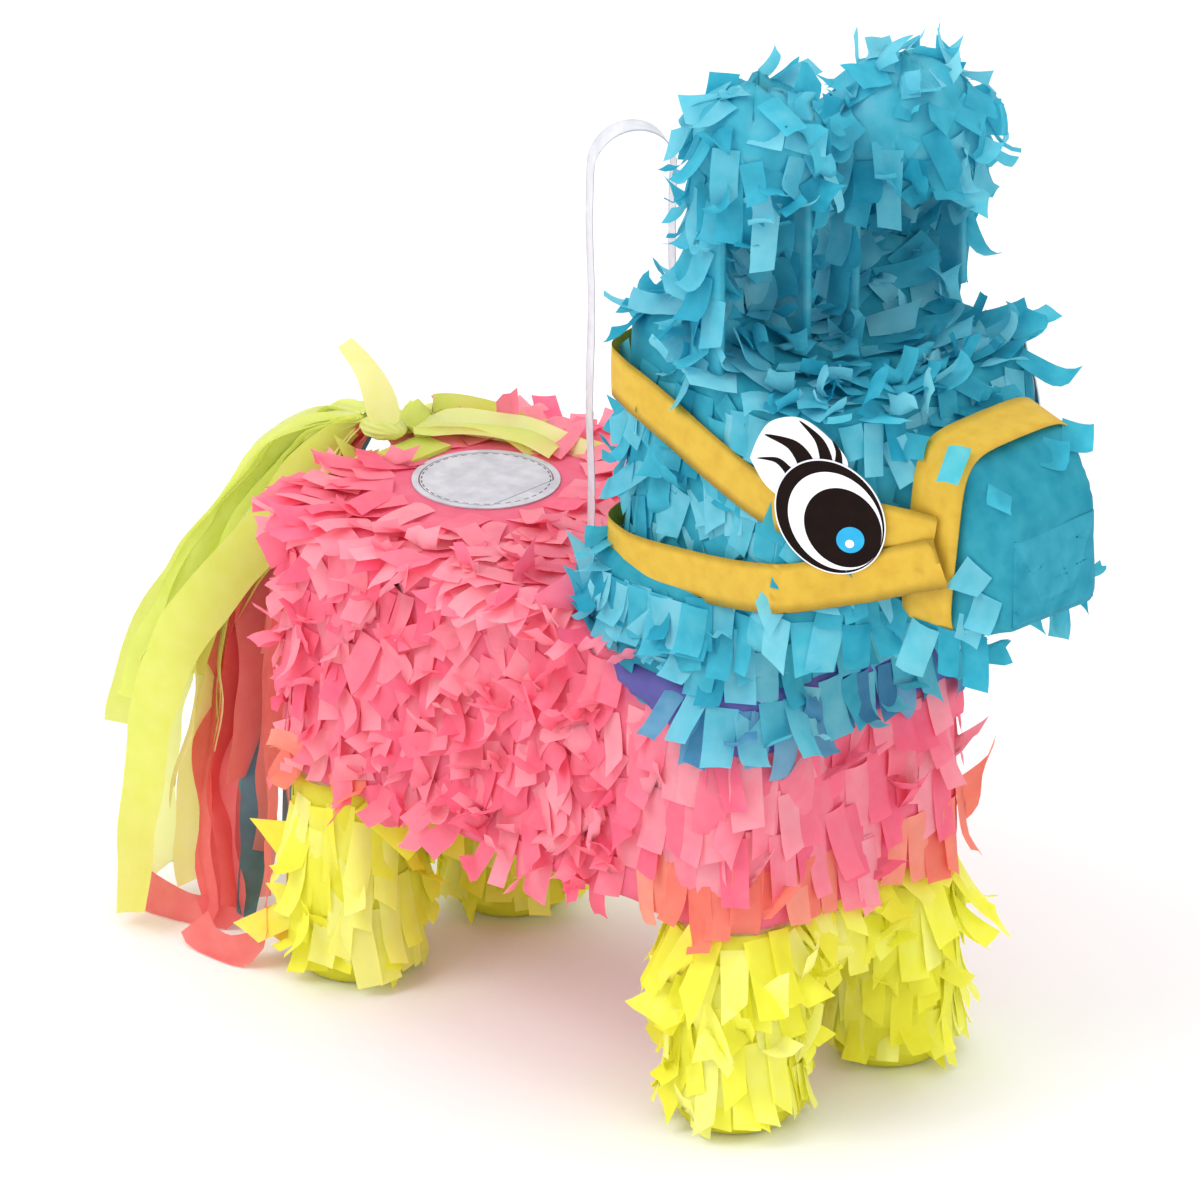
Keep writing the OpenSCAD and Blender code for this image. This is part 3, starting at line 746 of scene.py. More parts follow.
def makeHead(look):
    block = headBlock(look)
    joinInto(block, muzzleBlock(look))
    joinInto(block, neckBlock(look))
    form = soften(block, 3.5 * mm, look["swell"], look["swellSize"], 2, smoothing=2)
    for v in form.verts:
        if v.normal.z > 0.3 and v.co.z > crownTop - 12 * mm:
            # the sheet climbs to the feet of the ears
            (x, y), (long, wide) = look["moundAt"], look["moundSize"]
            v.co.z += look["mound"] * math.exp(-((v.co.x - x) / long) ** 2 - ((abs(v.co.y) - y) / wide) ** 2)
    form.normal_update()
    surface = BVHTree.FromBMesh(form)
    # painted shade: the sheet sits near the deep end of the ramp where it shows between the strips
    tintAll(form, 0.1)
    addPiece("headTissueBase", form, [turquoiseTissue], "donkey",
             ["head_fringe", "crown_fringe", "neck_fringe", "muzzle_fringe", "collar_fringe", "nose_panel"])
    rng = random.Random(21)
    headCentre = ((headLo.x + headHi.x) / 2, 0)
    bm, tint = newSheetMesh()
    z = neckHi.z + 22 * mm
    while z < crownTop - 6 * mm:
        fringeRow(bm, tint, surface, headCentre, z, look["fringe"], rng,
                  lambda spot: spot.x < headHi.x + 1 * mm or spot.z > muzzleHi.z, strapZone)
        z += look["rowStep"] * rng.uniform(0.85, 1.15)
    addPiece("headFringe", bm, [turquoiseTissue], "donkey")
    bm, tint = newSheetMesh()

    def flowCrown(spot, r):
        forward = (spot.x - headCentre[0]) / (60 * mm) + r.gauss(0, 0.5)
        return Vector((forward, spot.y / (50 * mm) + r.gauss(0, 0.5), 0))
    fringeTop(bm, tint, surface, (headLo.x + 6 * mm, headLo.y + 6 * mm),
              (headHi.x - 5 * mm, headHi.y - 6 * mm), look["crown"], rng, flowCrown)
    addPiece("crownFringe", bm, [turquoiseTissue], "donkey")
    bm, tint = newSheetMesh()
    muzzleCentre = (headHi.x + 14 * mm, 0)
    for z in look["muzzleRows"]:
        # only a few tongues stand between the band and the wrapped nose
        fringeRow(bm, tint, surface, muzzleCentre, z * mm, dict(look["muzzle"], length=15 * mm), rng,
                  lambda spot: headHi.x + 1 * mm < spot.x < noseHi.x - 9 * mm and not onBand(spot)
                  and (spot.x < noseband[1].x or spot.z < 0.31), strapZone)
    fringeTop(bm, tint, surface, (headHi.x + 2 * mm, muzzleLo.y + 6 * mm),
              (noseband[0].x - 13 * mm, muzzleHi.y - 6 * mm),
              dict(look["muzzle"], exposed=13 * mm, pitch=0.95, length=11 * mm), rng,
              lambda spot, r: Vector((1, r.gauss(0, 0.2), 0)), lambda spot: not strapZone(spot))
    for spot, aim in look["noseTongues"]:
        hit, normal, _, _ = surface.ray_cast(Vector(spot) * mm + Vector((0, 0, 0.1)), Vector((0, 0, -1)))
        if hit is not None:
            run = Vector(aim).normalized()
            run = (run - normal * run.dot(normal)).normalized()
            addTongue(bm, tint, hit + normal * 0.4 * mm, normal, run,
                      dict(look["muzzle"], curl=(14, 8), length=13 * mm), rng)
    addPiece("muzzleFringe", bm, [turquoiseTissue], "donkey")
    return surface


# The nose is closed like a parcel: side flaps under a bottom flap, and the top sheet over all
noseSet = {"proud": 0.4 * mm, "topFlap": 0.5 * mm, "lowFlap": 0.3 * mm, "edgeDrop": 1.6 * mm,
           "crumple": 0.5 * mm, "crumpleSize": 14 * mm, "thick": 0.5 * mm}


def makeNose(look):
    bm = bmesh.new()
    layer = bm.verts.layers.float_color.new("tint")
    bmesh.ops.create_grid(bm, x_segments=44, y_segments=36, size=0.5)
    middle = (noseLo + noseHi) / 2
    half = Vector((0, noseHi.y + 1.2 * mm, (noseHi.z - noseLo.z) / 2 + 1 * mm))
    for v in bm.verts:
        u, w = v.co.x * 2, v.co.y * 2
        top = 1 if w > -0.55 and abs(u) < 0.62 + 0.38 * w else 0
        low = 1 if w < -0.1 and abs(u) < 0.55 - 0.45 * w else 0
        edge = max(abs(u), abs(w)) ** 10
        folds = look["topFlap"] * top + look["lowFlap"] * low - look["edgeDrop"] * edge
        v.co = Vector((noseHi.x + look["proud"] + folds, middle.y + u * half.y, middle.z + w * half.z))
        v.co.x += look["crumple"] * noise.noise(v.co / look["crumpleSize"])
        # painted light and shade: the top flap sits a little higher on the colour ramp than the flaps under
        # it
        v[layer] = (0.12 + 0.12 * top, 0, 0, 1)
    bmesh.ops.solidify(bm, geom=bm.faces[:], thickness=look["thick"])
    bmesh.ops.recalc_face_normals(bm, faces=bm.faces)
    addPiece("noseTissueWrap", bm, [turquoiseTissue], "donkey")


# The collar: blue tongues over the chest on a violet sheet, with turquoise rows above
# each row's lower end in mm, which of the two tissues it is, and its length; behind level the rows climb
collarSet = {"rows": ((177, 0, 27), (195, 1, 26), (207, 1, 25), (221, 1, 25), (236, 1, 24)),
             "rise": 0.42, "level": 140, "sheetRows": 205, "strapGap": 12 * mm}


def collarHeight(end):
    return lambda x: end * mm + max(0.0, collarSet["level"] * mm - x) * collarSet["rise"]


def makeCollar(look):
    lo, hi = collarLo + Vector((3, 3.5, 4)) * mm, collarHi - Vector((3, 3.5, 20)) * mm
    block = boxBlock(lo, hi, 30 * mm, 5 * mm)
    bmesh.ops.bisect_plane(block, geom=block.verts[:] + block.edges[:] + block.faces[:],
                           plane_co=(collarSet["level"] * mm, 0, collarLo.z + 4 * mm),
                           plane_no=(-collarSet["rise"], 0, -1), clear_outer=True)
    bmesh.ops.holes_fill(block, edges=[e for e in block.edges if e.is_boundary], sides=0)
    form = soften(block, 4 * mm, 1.0 * mm, 40 * mm, 3, smoothing=2)
    surface = BVHTree.FromBMesh(form)
    tintAll(form, 0.4)
    addPiece("collarTissueBase", form, [violetTissue], "donkey")
    rng = random.Random(31)
    bm, tint = newSheetMesh()
    centre = ((collarLo.x + collarHi.x) / 2, 0)
    for end, index, length in collarSet["rows"]:
        row = dict(look["collar"], length=length * mm)
        onSheet = end < collarSet["sheetRows"]
        slope = collarHeight(min(end + length, 208 if onSheet else 258))

        def rootHeight(x):
            return min(slope(x), heightOn(strapSet["cheek"]["line"], x) - collarSet["strapGap"])

        def keepCollar(spot):
            return index > 0 or noise.noise(spot / (26 * mm) + Vector((3.1, 1.2, 0))) <= 0.2
        fringeRow(bm, tint, surface if onSheet else headSurface, centre, rootHeight, row, rng, keepCollar,
                  materialAt=lambda spot, r: index)
    for z in look["napeRows"]:
        fringeRow(bm, tint, headSurface, centre, z * mm, dict(look["collar"], length=21 * mm), rng,
                  lambda spot: spot.x < collarSet["level"] * mm, materialAt=lambda spot, r: 1)
    addPiece("collarFringe", bm, [collarTissue, turquoiseTissue], "donkey")


# Straps and noseband

# A smooth line through the points, as Catmull and Rom give it
def smoothLine(points, step):
    line = []
    for i in range(len(points) - 1):
        a, b, c, d = [points[max(0, min(len(points) - 1, i + k))] for k in (-1, 0, 1, 2)]
        count = max(2, int((c - b).length / step))
        for j in range(count):
            t = j / count
            square, cube = 2 * a - 5 * b + 4 * c - d, 3 * b - a - 3 * c + d
            line.append(0.5 * (2 * b + (c - a) * t + square * t * t + cube * t ** 3))
    line.append(points[-1])
    return line


# A flat strip laid along places, with its width along sides; both are lists of equal length
def addStrip(bm, places, sides, width, columns=4, camber=0.0, tintOf=None):
    last = len(places) - 1
    made = bmesh.ops.create_grid(bm, x_segments=columns, y_segments=last, size=0.5)["verts"]
    layer = bm.verts.layers.float_color.get("tint")
    for v in made:
        u = v.co.x
        i = round((0.5 - v.co.y) * last)
        tangent = places[min(i + 1, last)] - places[max(i - 1, 0)]
        facing = sides[i].cross(tangent).normalized()
        size = width(i / last) if callable(width) else width
        v.co = places[i] + sides[i] * u * size + facing * camber * (1 - 4 * u * u)
        if layer and tintOf:
            v[layer] = tintOf(u, i / last)
    return made


def makeStraps(look):
    for name in ("cheek", "brow"):
        strap = look[name]
        g = strap["proud"] / mm
        lap = strap["lap"] / mm
        # the plan of the head from the noseband round the right cheek to the nape, g proud of it
        right = [(strap["front"], -38.2 - g / 9 - lap), (226, -41.8 - g / 9 - lap),
                 (204 + 0.62 * g, -46 - 0.79 * g), (190 + 0.62 * g, -57 - 0.79 * g),
                 (178 + 0.3 * g, -65.2 - g), (160, -66.4 - g), (130, -66.2 - g), (98, -66 - g),
                 (82, -63.5 - g),
                 (73.5 - 0.75 * g, -57 - 0.75 * g), (70 - g, -42), (69.6 - g, -20)]
        plan = right + [(69.5 - g, 0)] + [(x, -y) for x, y in reversed(right)]
        corners = [Vector((x * mm, y * mm, heightOn(strap["line"], x * mm))) for x, y in plan]
        line = smoothLine(corners, 4 * mm)
        places, sides = [], []
        for i, p in enumerate(line):
            tangent = (line[min(i + 1, len(line) - 1)] - line[max(i - 1, 0)]).normalized()
            outward = Vector((tangent.y, -tangent.x, 0)).normalized()
            places.append(p - outward * 0.6 * mm * noise.noise(p / (30 * mm)))
            sides.append(tangent.cross(outward).normalized())
        bm = bmesh.new()
        addStrip(bm, places, sides, look["width"], columns=4, camber=-0.35 * mm)
        bmesh.ops.solidify(bm, geom=bm.faces[:], thickness=look["thick"])
        bmesh.ops.recalc_face_normals(bm, faces=bm.faces)
        addPiece(name + "StrapPaper", bm, [strapPaper], "donkey", strap["nodes"])


# The noseband is a closed band round the muzzle, square with soft corners and leaning with the face
nosebandSet = {"x": 232, "lean": 4.6, "halfWidth": 12.3, "half": 38.2, "taper": 0.17, "corner": 0.34,
               "low": 251.6, "top": 343.2, "bow": 1.2, "thick": 0.7 * mm}


def makeNoseband(look):
    bm = bmesh.new()
    bmesh.ops.create_grid(bm, x_segments=5, y_segments=128, size=0.5)
    for v in bm.verts:
        u = v.co.x * 2
        a = 2 * math.pi * (v.co.y + 0.5) - math.pi / 2
        cy = math.copysign(abs(math.cos(a)) ** look["corner"], math.cos(a))
        cz = math.copysign(abs(math.sin(a)) ** look["corner"], math.sin(a))
        x = look["x"] + look["lean"] * cz + look["halfWidth"] * u
        half = look["half"] + (224 - x) * look["taper"]
        low, top = look["low"] + (x - 215) * 0.05, look["top"] - (x - 224) * 0.16
        bow = look["bow"] * max(0, cz) * (1 - cy * cy)
        v.co = Vector((x, cy * half, (low + top) / 2 + cz * (top - low) / 2 + bow)) * mm
    bmesh.ops.remove_doubles(bm, verts=bm.verts, dist=0.01 * mm)
    bmesh.ops.solidify(bm, geom=bm.faces[:], thickness=look["thick"])
    bmesh.ops.recalc_face_normals(bm, faces=bm.faces)
    addPiece("nosebandPaper", bm, [strapPaper], "donkey", ["noseband"])


# Eyes

# sizes in mm on the cheek: along is towards the nose, up is up
eyeSet = {
    "tilt": -60, "shift": -0.6, "rise": -7.4, "out": 0.6,
    # card, black rim, white, pupil, iris and glint: middle, two half lengths, lift, thickness and ink
    "discs": ((0, 0, 27.6, 22.4, 0.0, 0.6, 1), (0, 0, 27, 21.8, 0.62, 0.08, 0),
              (2.2, -1.8, 23.6, 19, 0.72, 0.06, 1), (5.5, -4.7, 19, 15.8, 0.8, 0.06, 0),
              (8.7, -10.2, 6, 6, 0.88, 0.06, 2), (8.4, -12, 1.9, 1.9, 0.96, 0.05, 1)),
    "tab": ((-34.5, 25.4), (-30.5, 36), (-24.8, 43.2), (-13.4, 45), (-2, 37.4), (7.4, 24.3), (2, 12),
            (-14, 4), (-27, 12)),
    # root, point, width at the root and bend of each lash
    "lashes": (((-18.1, 20), (-31.5, 25.4), 4.2, 2.6), ((-10.7, 24.3), (-28.2, 36.7), 8.2, 3.2),
               ((-2, 26.5), (-13.4, 43.9), 5.6, 2.2), ((3.4, 25.8), (0.7, 35.2), 3.4, 1.0)),
}


def addOutline(bm, points, low, thick, index):
    ring = smoothLine([Vector((p[0], p[1], 0)) * mm for p in (*points, points[0])], 1.2 * mm)[:-1]
    made = bmesh.ops.create_circle(bm, cap_ends=True, segments=len(ring), radius=1)["verts"]
    for v, p in zip(made, ring):
        v.co = Vector((p.x, p.y, low * mm))
    face = made[0].link_faces[0]
    face.material_index = index
    lifted = bmesh.ops.extrude_face_region(bm, geom=[face])["geom"]
    raised = [part for part in lifted if isinstance(part, bmesh.types.BMVert)]
    bmesh.ops.translate(bm, vec=(0, 0, thick * mm), verts=raised)
    for v in made:
        for f in v.link_faces:
            f.material_index = index


def makeEye(side, look):
    sign = 1 if side == "left" else -1
    along = Vector((0.789, -0.614 * sign, 0))
    out = Vector((0.614, 0.789 * sign, 0))
    middle = Vector((eyeMiddle.x, sign * abs(eyeMiddle.y), eyeMiddle.z + look["rise"] * mm))
    middle += along * look["shift"] * mm + out * (look["out"] if side == "right" else look["out"] - 0.6) * mm
    turn = Matrix((along, Vector((0, 0, 1)), out)).transposed().to_4x4()
    turn.translation = middle
    tilt = math.radians(look["tilt"])
    bm = bmesh.new()
    for a, b, longHalf, shortHalf, low, thick, index in look["discs"]:
        ring = []
        for i in range(72):
            t = 2 * math.pi * i / 72
            p, q = longHalf * math.cos(t), shortHalf * math.sin(t)
            ring.append((a + p * math.cos(tilt) - q * math.sin(tilt),
                         b + p * math.sin(tilt) + q * math.cos(tilt)))
        addOutline(bm, ring, low, thick, index)
    finishFlat(bm, turn)
    addPiece(side + "EyeCard", bm, [eyeBlack, eyeWhite, eyeBlue], "donkey", [side + "_eye"],
             smooth=False)
    bm = bmesh.new()
    addOutline(bm, look["tab"], -1.3, 0.6, 1)
    for base, tip, wide, bend in look["lashes"]:
        way = Vector((tip[0] - base[0], tip[1] - base[1])).normalized()
        across = Vector((-way.y, way.x))
        mid = [(base[i] * 0.55 + tip[i] * 0.45) - across[i] * bend for i in (0, 1)]
        outline = []
        for share, (cx, cy) in ((0.5, base), (0.3, mid)):
            outline.append((cx + across.x * wide * share, cy + across.y * wide * share))
        outline.append(tip)
        for share, (cx, cy) in ((0.3, mid), (0.5, base)):
            outline.append((cx - across.x * wide * share, cy - across.y * wide * share))
        outline.append((base[0] - way.x * 4, base[1] - way.y * 4))
        addOutline(bm, outline, -0.68, 0.08, 0)
    for v in bm.verts:
        # the card springs forward a little at its free edge, or leans back on the far side
        v.co.z += (0.05 if side == "right" else -0.1) * (v.co.y - 20 * mm)
    finishFlat(bm, turn)
    addPiece(side + "LashCard", bm, [eyeBlack, eyeWhite], "donkey", [side + "_lashes"],
             smooth=False)


def finishFlat(bm, turn):
    bmesh.ops.triangulate(bm, faces=[f for f in bm.faces if len(f.verts) > 4])
    bmesh.ops.transform(bm, matrix=turn, verts=bm.verts)
    bmesh.ops.recalc_face_normals(bm, faces=bm.faces)


# Ears

earSet = {
    "right": {"hood": 0.5, "lean": 0.02, "seed": 52},
    "left": {"hood": 0.42, "lean": 0.05, "seed": 51},
    "fringe": {"width": 11.5 * mm, "pitch": 0.95, "length": 25 * mm, "uneven": 0.22, "lift": (4, 14),
               "curl": (12, 24), "tip": (25, 42), "sway": 14, "twist": 18, "folded": 0.2, "wild": 0.15,
               "ragged": 2 * mm},
    "rim": {"width": 11.5 * mm, "pitch": 0.92, "length": 23 * mm, "uneven": 0.24, "lift": (2, 16),
            "curl": (8, 22), "tip": (30, 45), "sway": 20, "twist": 18, "folded": 0.26, "wild": 0.18,
            "ragged": 2.5 * mm},
    "top": {"width": 12 * mm, "pitch": 1.0, "length": 18 * mm, "uneven": 0.25, "lift": (0, 5),
            "curl": (-4, 9), "tip": (5, 22), "sway": 34, "twist": 14, "folded": 0.3, "wild": 0.25,
            "exposed": 8.5 * mm},
    "inner": {"width": 11 * mm, "pitch": 1.0, "length": 20 * mm, "uneven": 0.2, "lift": (4, 20),
              "curl": (10, 20), "sway": 20, "twist": 18, "folded": 0.2, "wild": 0.15, "ragged": 2 * mm},
    # share of the width that an ear is deep, and how far the skin and the inner wall lie inside the fringe
    "flat": 0.92, "inset": 2.5 * mm, "wall": 3.4 * mm,
}


def makeEar(side, look, shared):
    lo, hi = [Vector(c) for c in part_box(side + "_ear_fringe")]
    radius = (hi.y - lo.y) / 2 - shared["inset"]
    middle = Vector((lo.x + radius + shared["inset"], (lo.y + hi.y) / 2, hi.z - radius - 2 * mm))
    tube = middle.z - crownTop + 6 * mm
    bm = bmesh.new()
    bmesh.ops.create_uvsphere(bm, u_segments=64, v_segments=48, radius=radius)
    for v in bm.verts:
        if v.co.z < 0:
            drop = -v.co.z / radius
            flat = Vector((v.co.x, v.co.y, 0))
            flat = flat.normalized() * radius if flat.length > mm / 100 else flat
            v.co = Vector((flat.x * shared["flat"], flat.y, -drop * tube))
        else:
            v.co.x *= shared["flat"] + (1 - shared["flat"]) * v.co.z / radius
    hoodZ = -look["hood"] * radius
    gone = [f for f in bm.faces if (f.calc_center_median().z < hoodZ and f.calc_center_median().x > 5 * mm)
            or f.normal.z < -0.9]
    bmesh.ops.delete(bm, geom=gone, context="FACES")
    bmesh.ops.recalc_face_normals(bm, faces=bm.faces)
    shift = Vector((side == "left", 4, 2)) * 3.3
    for v in bm.verts:
        # gathers of the sheet that is pulled over the top
        pleat = noise.noise(Vector((math.atan2(v.co.y, v.co.x) * 3.2, v.co.z / (24 * mm), 0)) + shift)
        crumple = noise.noise(v.co / (9 * mm) + shift)
        top = max(0.0, min(1.0, (v.co.z - hoodZ) / (20 * mm)))
        v.co += v.co.normalized() * top * (2.6 * mm * pleat + 1.8 * mm * (0.4 - abs(crumple)))
        v.co.x += look["lean"] * max(0, v.co.z + tube) * 0.3
    bmesh.ops.translate(bm, vec=middle, verts=bm.verts)
    bmesh.ops.solidify(bm, geom=bm.faces[:], thickness=-3 * mm)
    bmesh.ops.recalc_face_normals(bm, faces=bm.faces)
    surface = BVHTree.FromBMesh(bm)
    layer = bm.verts.layers.float_color.new("tint")
    for v in bm.verts:
        v[layer] = (0.5 + 0.3 * noise.noise(v.co / (12 * mm)), 0, 0, 1)
    addPiece(side + "EarTissueCap", bm, [turquoiseTissue], "donkey",
             [side + "_ear_fringe", side + "_ear"])
    rng = random.Random(look["seed"])
    bm, tint = newSheetMesh()
    centre = (middle.x, middle.y)
    z = crownTop + 12 * mm
    while z < middle.z + radius * 0.5:
        fringeRow(bm, tint, surface, centre, z, shared["fringe"], rng,
                  lambda spot: spot.z < middle.z + hoodZ or spot.x < middle.x + 8 * mm)
        z += 12 * mm * rng.uniform(0.9, 1.1)
    z = middle.z + hoodZ + 5 * mm
    while z < middle.z + radius * 0.5:
        fringeRow(bm, tint, surface, centre, z, shared["rim"], rng, lambda spot: spot.x > middle.x - 2 * mm)
        z += 11 * mm

    def flowTop(spot, r):
        x = spot.x - middle.x + r.gauss(0, 6) * mm
        return Vector((x, spot.y - middle.y + r.gauss(0, 6) * mm, 0))
    fringeTop(bm, tint, surface, (lo.x + 4 * mm, lo.y + 4 * mm), (hi.x - 4 * mm, hi.y - 4 * mm),
              shared["top"], rng, flowTop, lambda spot: spot.z > middle.z + radius * 0.4)
    wall = radius - shared["wall"]
    for z in range(3):
        # tongues on the inner wall, seen under the hood
        for k in range(-3, 4):
            a = math.pi + k * 0.36 + rng.gauss(0, 0.05)
            spot = Vector((middle.x + wall * math.cos(a) * shared["flat"], middle.y + wall * math.sin(a),
                           crownTop + (18 + 15 * z) * mm))
            out = Vector((-math.cos(a), -math.sin(a), 0))
            addTongue(bm, tint, spot, out, Vector((0, 0, -1)), shared["inner"], rng)
    addPiece(side + "EarFringe", bm, [turquoiseTissue], "donkey")


# Tail

# lines in mm from the knot to the cut end, and how many streamers follow each, closely or loosely
tailSet = {
    "yellow": (
        (((-143, 0, 234), (-164, -4, 229), (-186, -8, 213), (-205, -14, 188), (-226, -20, 155),
          (-239, -25, 126), (-250, -30, 98), (-255, -34, 78), (-255, -36, 64)), 4, 2.2),
        (((-143, 0, 234), (-156, -8, 222), (-172, -18, 192), (-195, -28, 159), (-213, -36, 132),
          (-220, -44, 100), (-221, -50, 64), (-218, -56, 33), (-213, -60, 15)), 5, 6),
        (((-143, 0, 234), (-165, -6, 221), (-188, -14, 186), (-205, -22, 150), (-208, -30, 118),
          (-204, -36, 93), (-205, -42, 68), (-204, -50, 46), (-200, -56, 29), (-189, -60, 18)), 4, 6),
        (((-143, 0, 234), (-168, -4, 218), (-195, -10, 178), (-207, -16, 143), (-210, -22, 110),
          (-205, -28, 79), (-207, -34, 51)), 4, 7),
        (((-143, 2, 235), (-169, 6, 229), (-196, 10, 211), (-218, 12, 186), (-230, 12, 165),
          (-236, 10, 148)), 5, 8),
    ),
    "coral": (
        (((-144, 2, 231), (-162, -6, 209), (-172, -10, 187), (-177, -16, 157), (-176, -22, 116),
          (-172, -30, 77), (-171, -36, 41), (-169, -40, 9)), 3, 5),
        (((-144, 0, 231), (-165, -6, 204), (-183, -14, 163), (-195, -20, 136), (-194, -26, 109),
          (-193, -32, 85), (-191, -42, 56), (-178, -50, 36), (-165, -60, 12)), 3, 5),
        (((-144, 0, 231), (-171, -8, 198), (-194, -18, 152), (-204, -30, 100), (-198, -42, 63),
          (-188, -54, 32), (-178, -61, 11), (-186, -66, 4), (-203, -68, 6), (-224, -70, 10)), 2, 2),
        (((-144, 0, 231), (-166, -10, 191), (-170, -24, 137), (-158, -44, 90), (-144, -60, 53),
          (-134, -72, 25), (-131, -79, 12), (-143, -84, 4), (-158, -85, 5), (-168, -82, 11)), 1, 0),
    ),
    "teal": (
        (((-144, 4, 231), (-172, 2, 195), (-189, 0, 153), (-193, -8, 116), (-187, -20, 83),
          (-177, -36, 54), (-167, -48, 27), (-162, -56, 6)), 3, 5),
        (((-144, 4, 231), (-174, 6, 193), (-188, 6, 146), (-197, 4, 106), (-204, 0, 81), (-201, -12, 58),
          (-197, -20, 40)), 2, 5),
    ),
    "spray": (
        ((-128, -3, 233), (-130, -5, 247), (-133, -7, 258), (-138, -9, 266), (-144, -11, 273)),
        ((-122, 10, 231), (-116, 26, 233), (-98, 40, 231), (-76, 47, 228), (-58, 50, 226)),
        ((-124, 8, 231), (-128, 28, 233), (-110, 48, 229), (-90, 56, 226)),
        ((-121, 8, 231), (-104, 30, 231), (-84, 39, 230), (-66, 40, 228)),
        ((-126, 8, 231), (-138, 26, 230), (-136, 50, 220), (-130, 66, 208)),
    ),
    # widths in mm; above upright a line of the spray is one loose strip that stands up
    "width": (13, 25), "sprayWidth": (14, 20), "upright": 250, "shortest": 0.6, "drift": 2.4,
    "rumpTongues": {"count": 9, "x": -129.5, "first": -34, "step": 8, "z": 224},
    "pleat": {"half": (11.5, 8.6, 4.2), "shift": (-2, 1.4), "folds": 11},
}


def addStreamer(bm, line, width, rng, seed, twist=46, turned=0):
    places = smoothLine([Vector(p) * mm for p in line], 4.5 * mm)
    last = len(places) - 1
    turnStart = math.radians(rng.gauss(turned, 42))
    turnEnd = turnStart + math.radians(rng.gauss(0, twist))
    sides = []
    for i, p in enumerate(places):
        tangent = (places[min(i + 1, last)] - places[max(i - 1, 0)]).normalized()
        flat = Vector((0, 1, 0)) - tangent * tangent.y
        flat = flat.normalized()
        sides.append(Matrix.Rotation(turnStart + (turnEnd - turnStart) * i / last, 3, tangent) @ flat)
    # each streamer's place between painted shade and painted light, picked at random
    shade, glint = rng.random(), rng.random()
    slant = rng.gauss(0, 0.28)
    made = addStrip(bm, places, sides, lambda v: width * mm * min(1, 0.3 + v * 5), columns=4,
                    camber=rng.uniform(-0.16, 0.16) * width * mm,
                    tintOf=lambda u, v: (shade, min(1, v * 1.4), glint, 1))
    ending = (places[-1] - places[-2]).normalized()
    for v in made:
        away = (v.co - places[-1])
        if abs(away.dot(ending)) < 1.5 * mm and away.length < width * 0.7 * mm:
            v.co += ending * away.dot(sides[-1]) * slant
    shift = Vector((seed, seed * 0.7, 0))
    for v in made:
        # soft lengthwise waves of thin paper
        swing = Vector((noise.noise(v.co / (24 * mm) + shift), noise.noise(v.co / (24 * mm) - shift), 0))
        v.co += swing * 3.0 * mm
        v.co.z = max(v.co.z, 0.8 * mm)


def makeTail(look):
    streamers = [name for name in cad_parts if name.endswith("_streamer")]
    kinds = (("yellow", streamerYellow, "tail_yellow_tissue"), ("coral", streamerCoral, "tail_coral_tissue"),
             ("teal", streamerTeal, "tail_teal_tissue"))
    for number, (kind, material, slotName) in enumerate(kinds):
        rng = random.Random(70 + number)
        bm, tint = newSheetMesh()
        for line, count, loose in look[kind]:
            for k in range(count):
                # the first follows the line, the others stray from it and end sooner
                share, drift = 1.0, Vector()
                if k:
                    share = rng.uniform(look["shortest"], 1.0)
                    drift = Vector((abs(rng.gauss(0, 1)), rng.gauss(0.3, 1), rng.gauss(0, 0.5))) * loose
                kept = max(4, round(len(line) * share))
                moved = [Vector(p) + drift * (i / (len(line) - 1)) * look["drift"]
                         for i, p in enumerate(line[:kept])]
                addStreamer(bm, moved, rng.uniform(*look["width"]), rng, 3.1 * number + k,
                            turned=55 if count == 1 else 0)
        addPiece("tail" + kind.title() + "Streamers", bm, [material], "tail_streamers",
                 [name for name in streamers if kind in name])
    rng = random.Random(77)
    bm, tint = newSheetMesh()
    for line in look["spray"]:
        stands = line[-1][2] > look["upright"]
        for k in range(1 if stands else 2):
            drift = Vector((rng.gauss(0, 4), rng.gauss(0, 4), rng.gauss(0, 1.5))) * k
            moved = [Vector(p) + drift * i / 3 for i, p in enumerate(line)]
            addStreamer(bm, moved, rng.uniform(*look["sprayWidth"]), rng, 5.3 + k, turned=60 if stands else 0)
    # short tongues over the edge of the rump
    rump = look["rumpTongues"]
    for k in range(rump["count"]):
        root = Vector((rump["x"], rump["first"] + rump["step"] * k + rng.gauss(0, 1), rump["z"])) * mm
        addTongue(bm, tint, root, Vector((-0.8, 0, 0.6)), Vector((-0.6, 0, -0.8)),
                  dict(trunkSet["flank"], width=13 * mm, length=22 * mm), rng)
    addPiece("tailSprayTissue", bm, [streamerYellow], "donkey", ["tail_spray"])
    lo, hi = [Vector(c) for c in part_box("tail_pleat")]
    bm, tint = newSheetMesh()
    bmesh.ops.create_uvsphere(bm, u_segments=36, v_segments=20, radius=1)
    folds, (x, y, z), (back, up) = look["pleat"]["folds"], look["pleat"]["half"], look["pleat"]["shift"]
    for v in bm.verts:
        a = math.atan2(v.co.z, v.co.y)
        pleat = 1 + 0.12 * math.sin(a * folds + 2 * v.co.x) + 0.06 * noise.noise(v.co * 3)
        v.co = (lo + hi) / 2 + Vector((v.co.x * x + back, v.co.y * y * pleat, v.co.z * z * pleat + up)) * mm
        # painted light and shade: the colour rises on the ridges of the folds and falls in the troughs
        v[tint] = (0.5 + 0.4 * math.sin(a * folds), 0, 0, 1)
    addPiece("tailPleatTissue", bm, [streamerYellow], "tail_pleat", ["tail_pleat"])


# Hanging band

bandSet = {"width": 12 * mm, "thick": 0.9 * mm, "turn": 58, "radius": 18.4 * mm, "steps": 14, "arch": 12,
           "waver": 0.5 * mm}


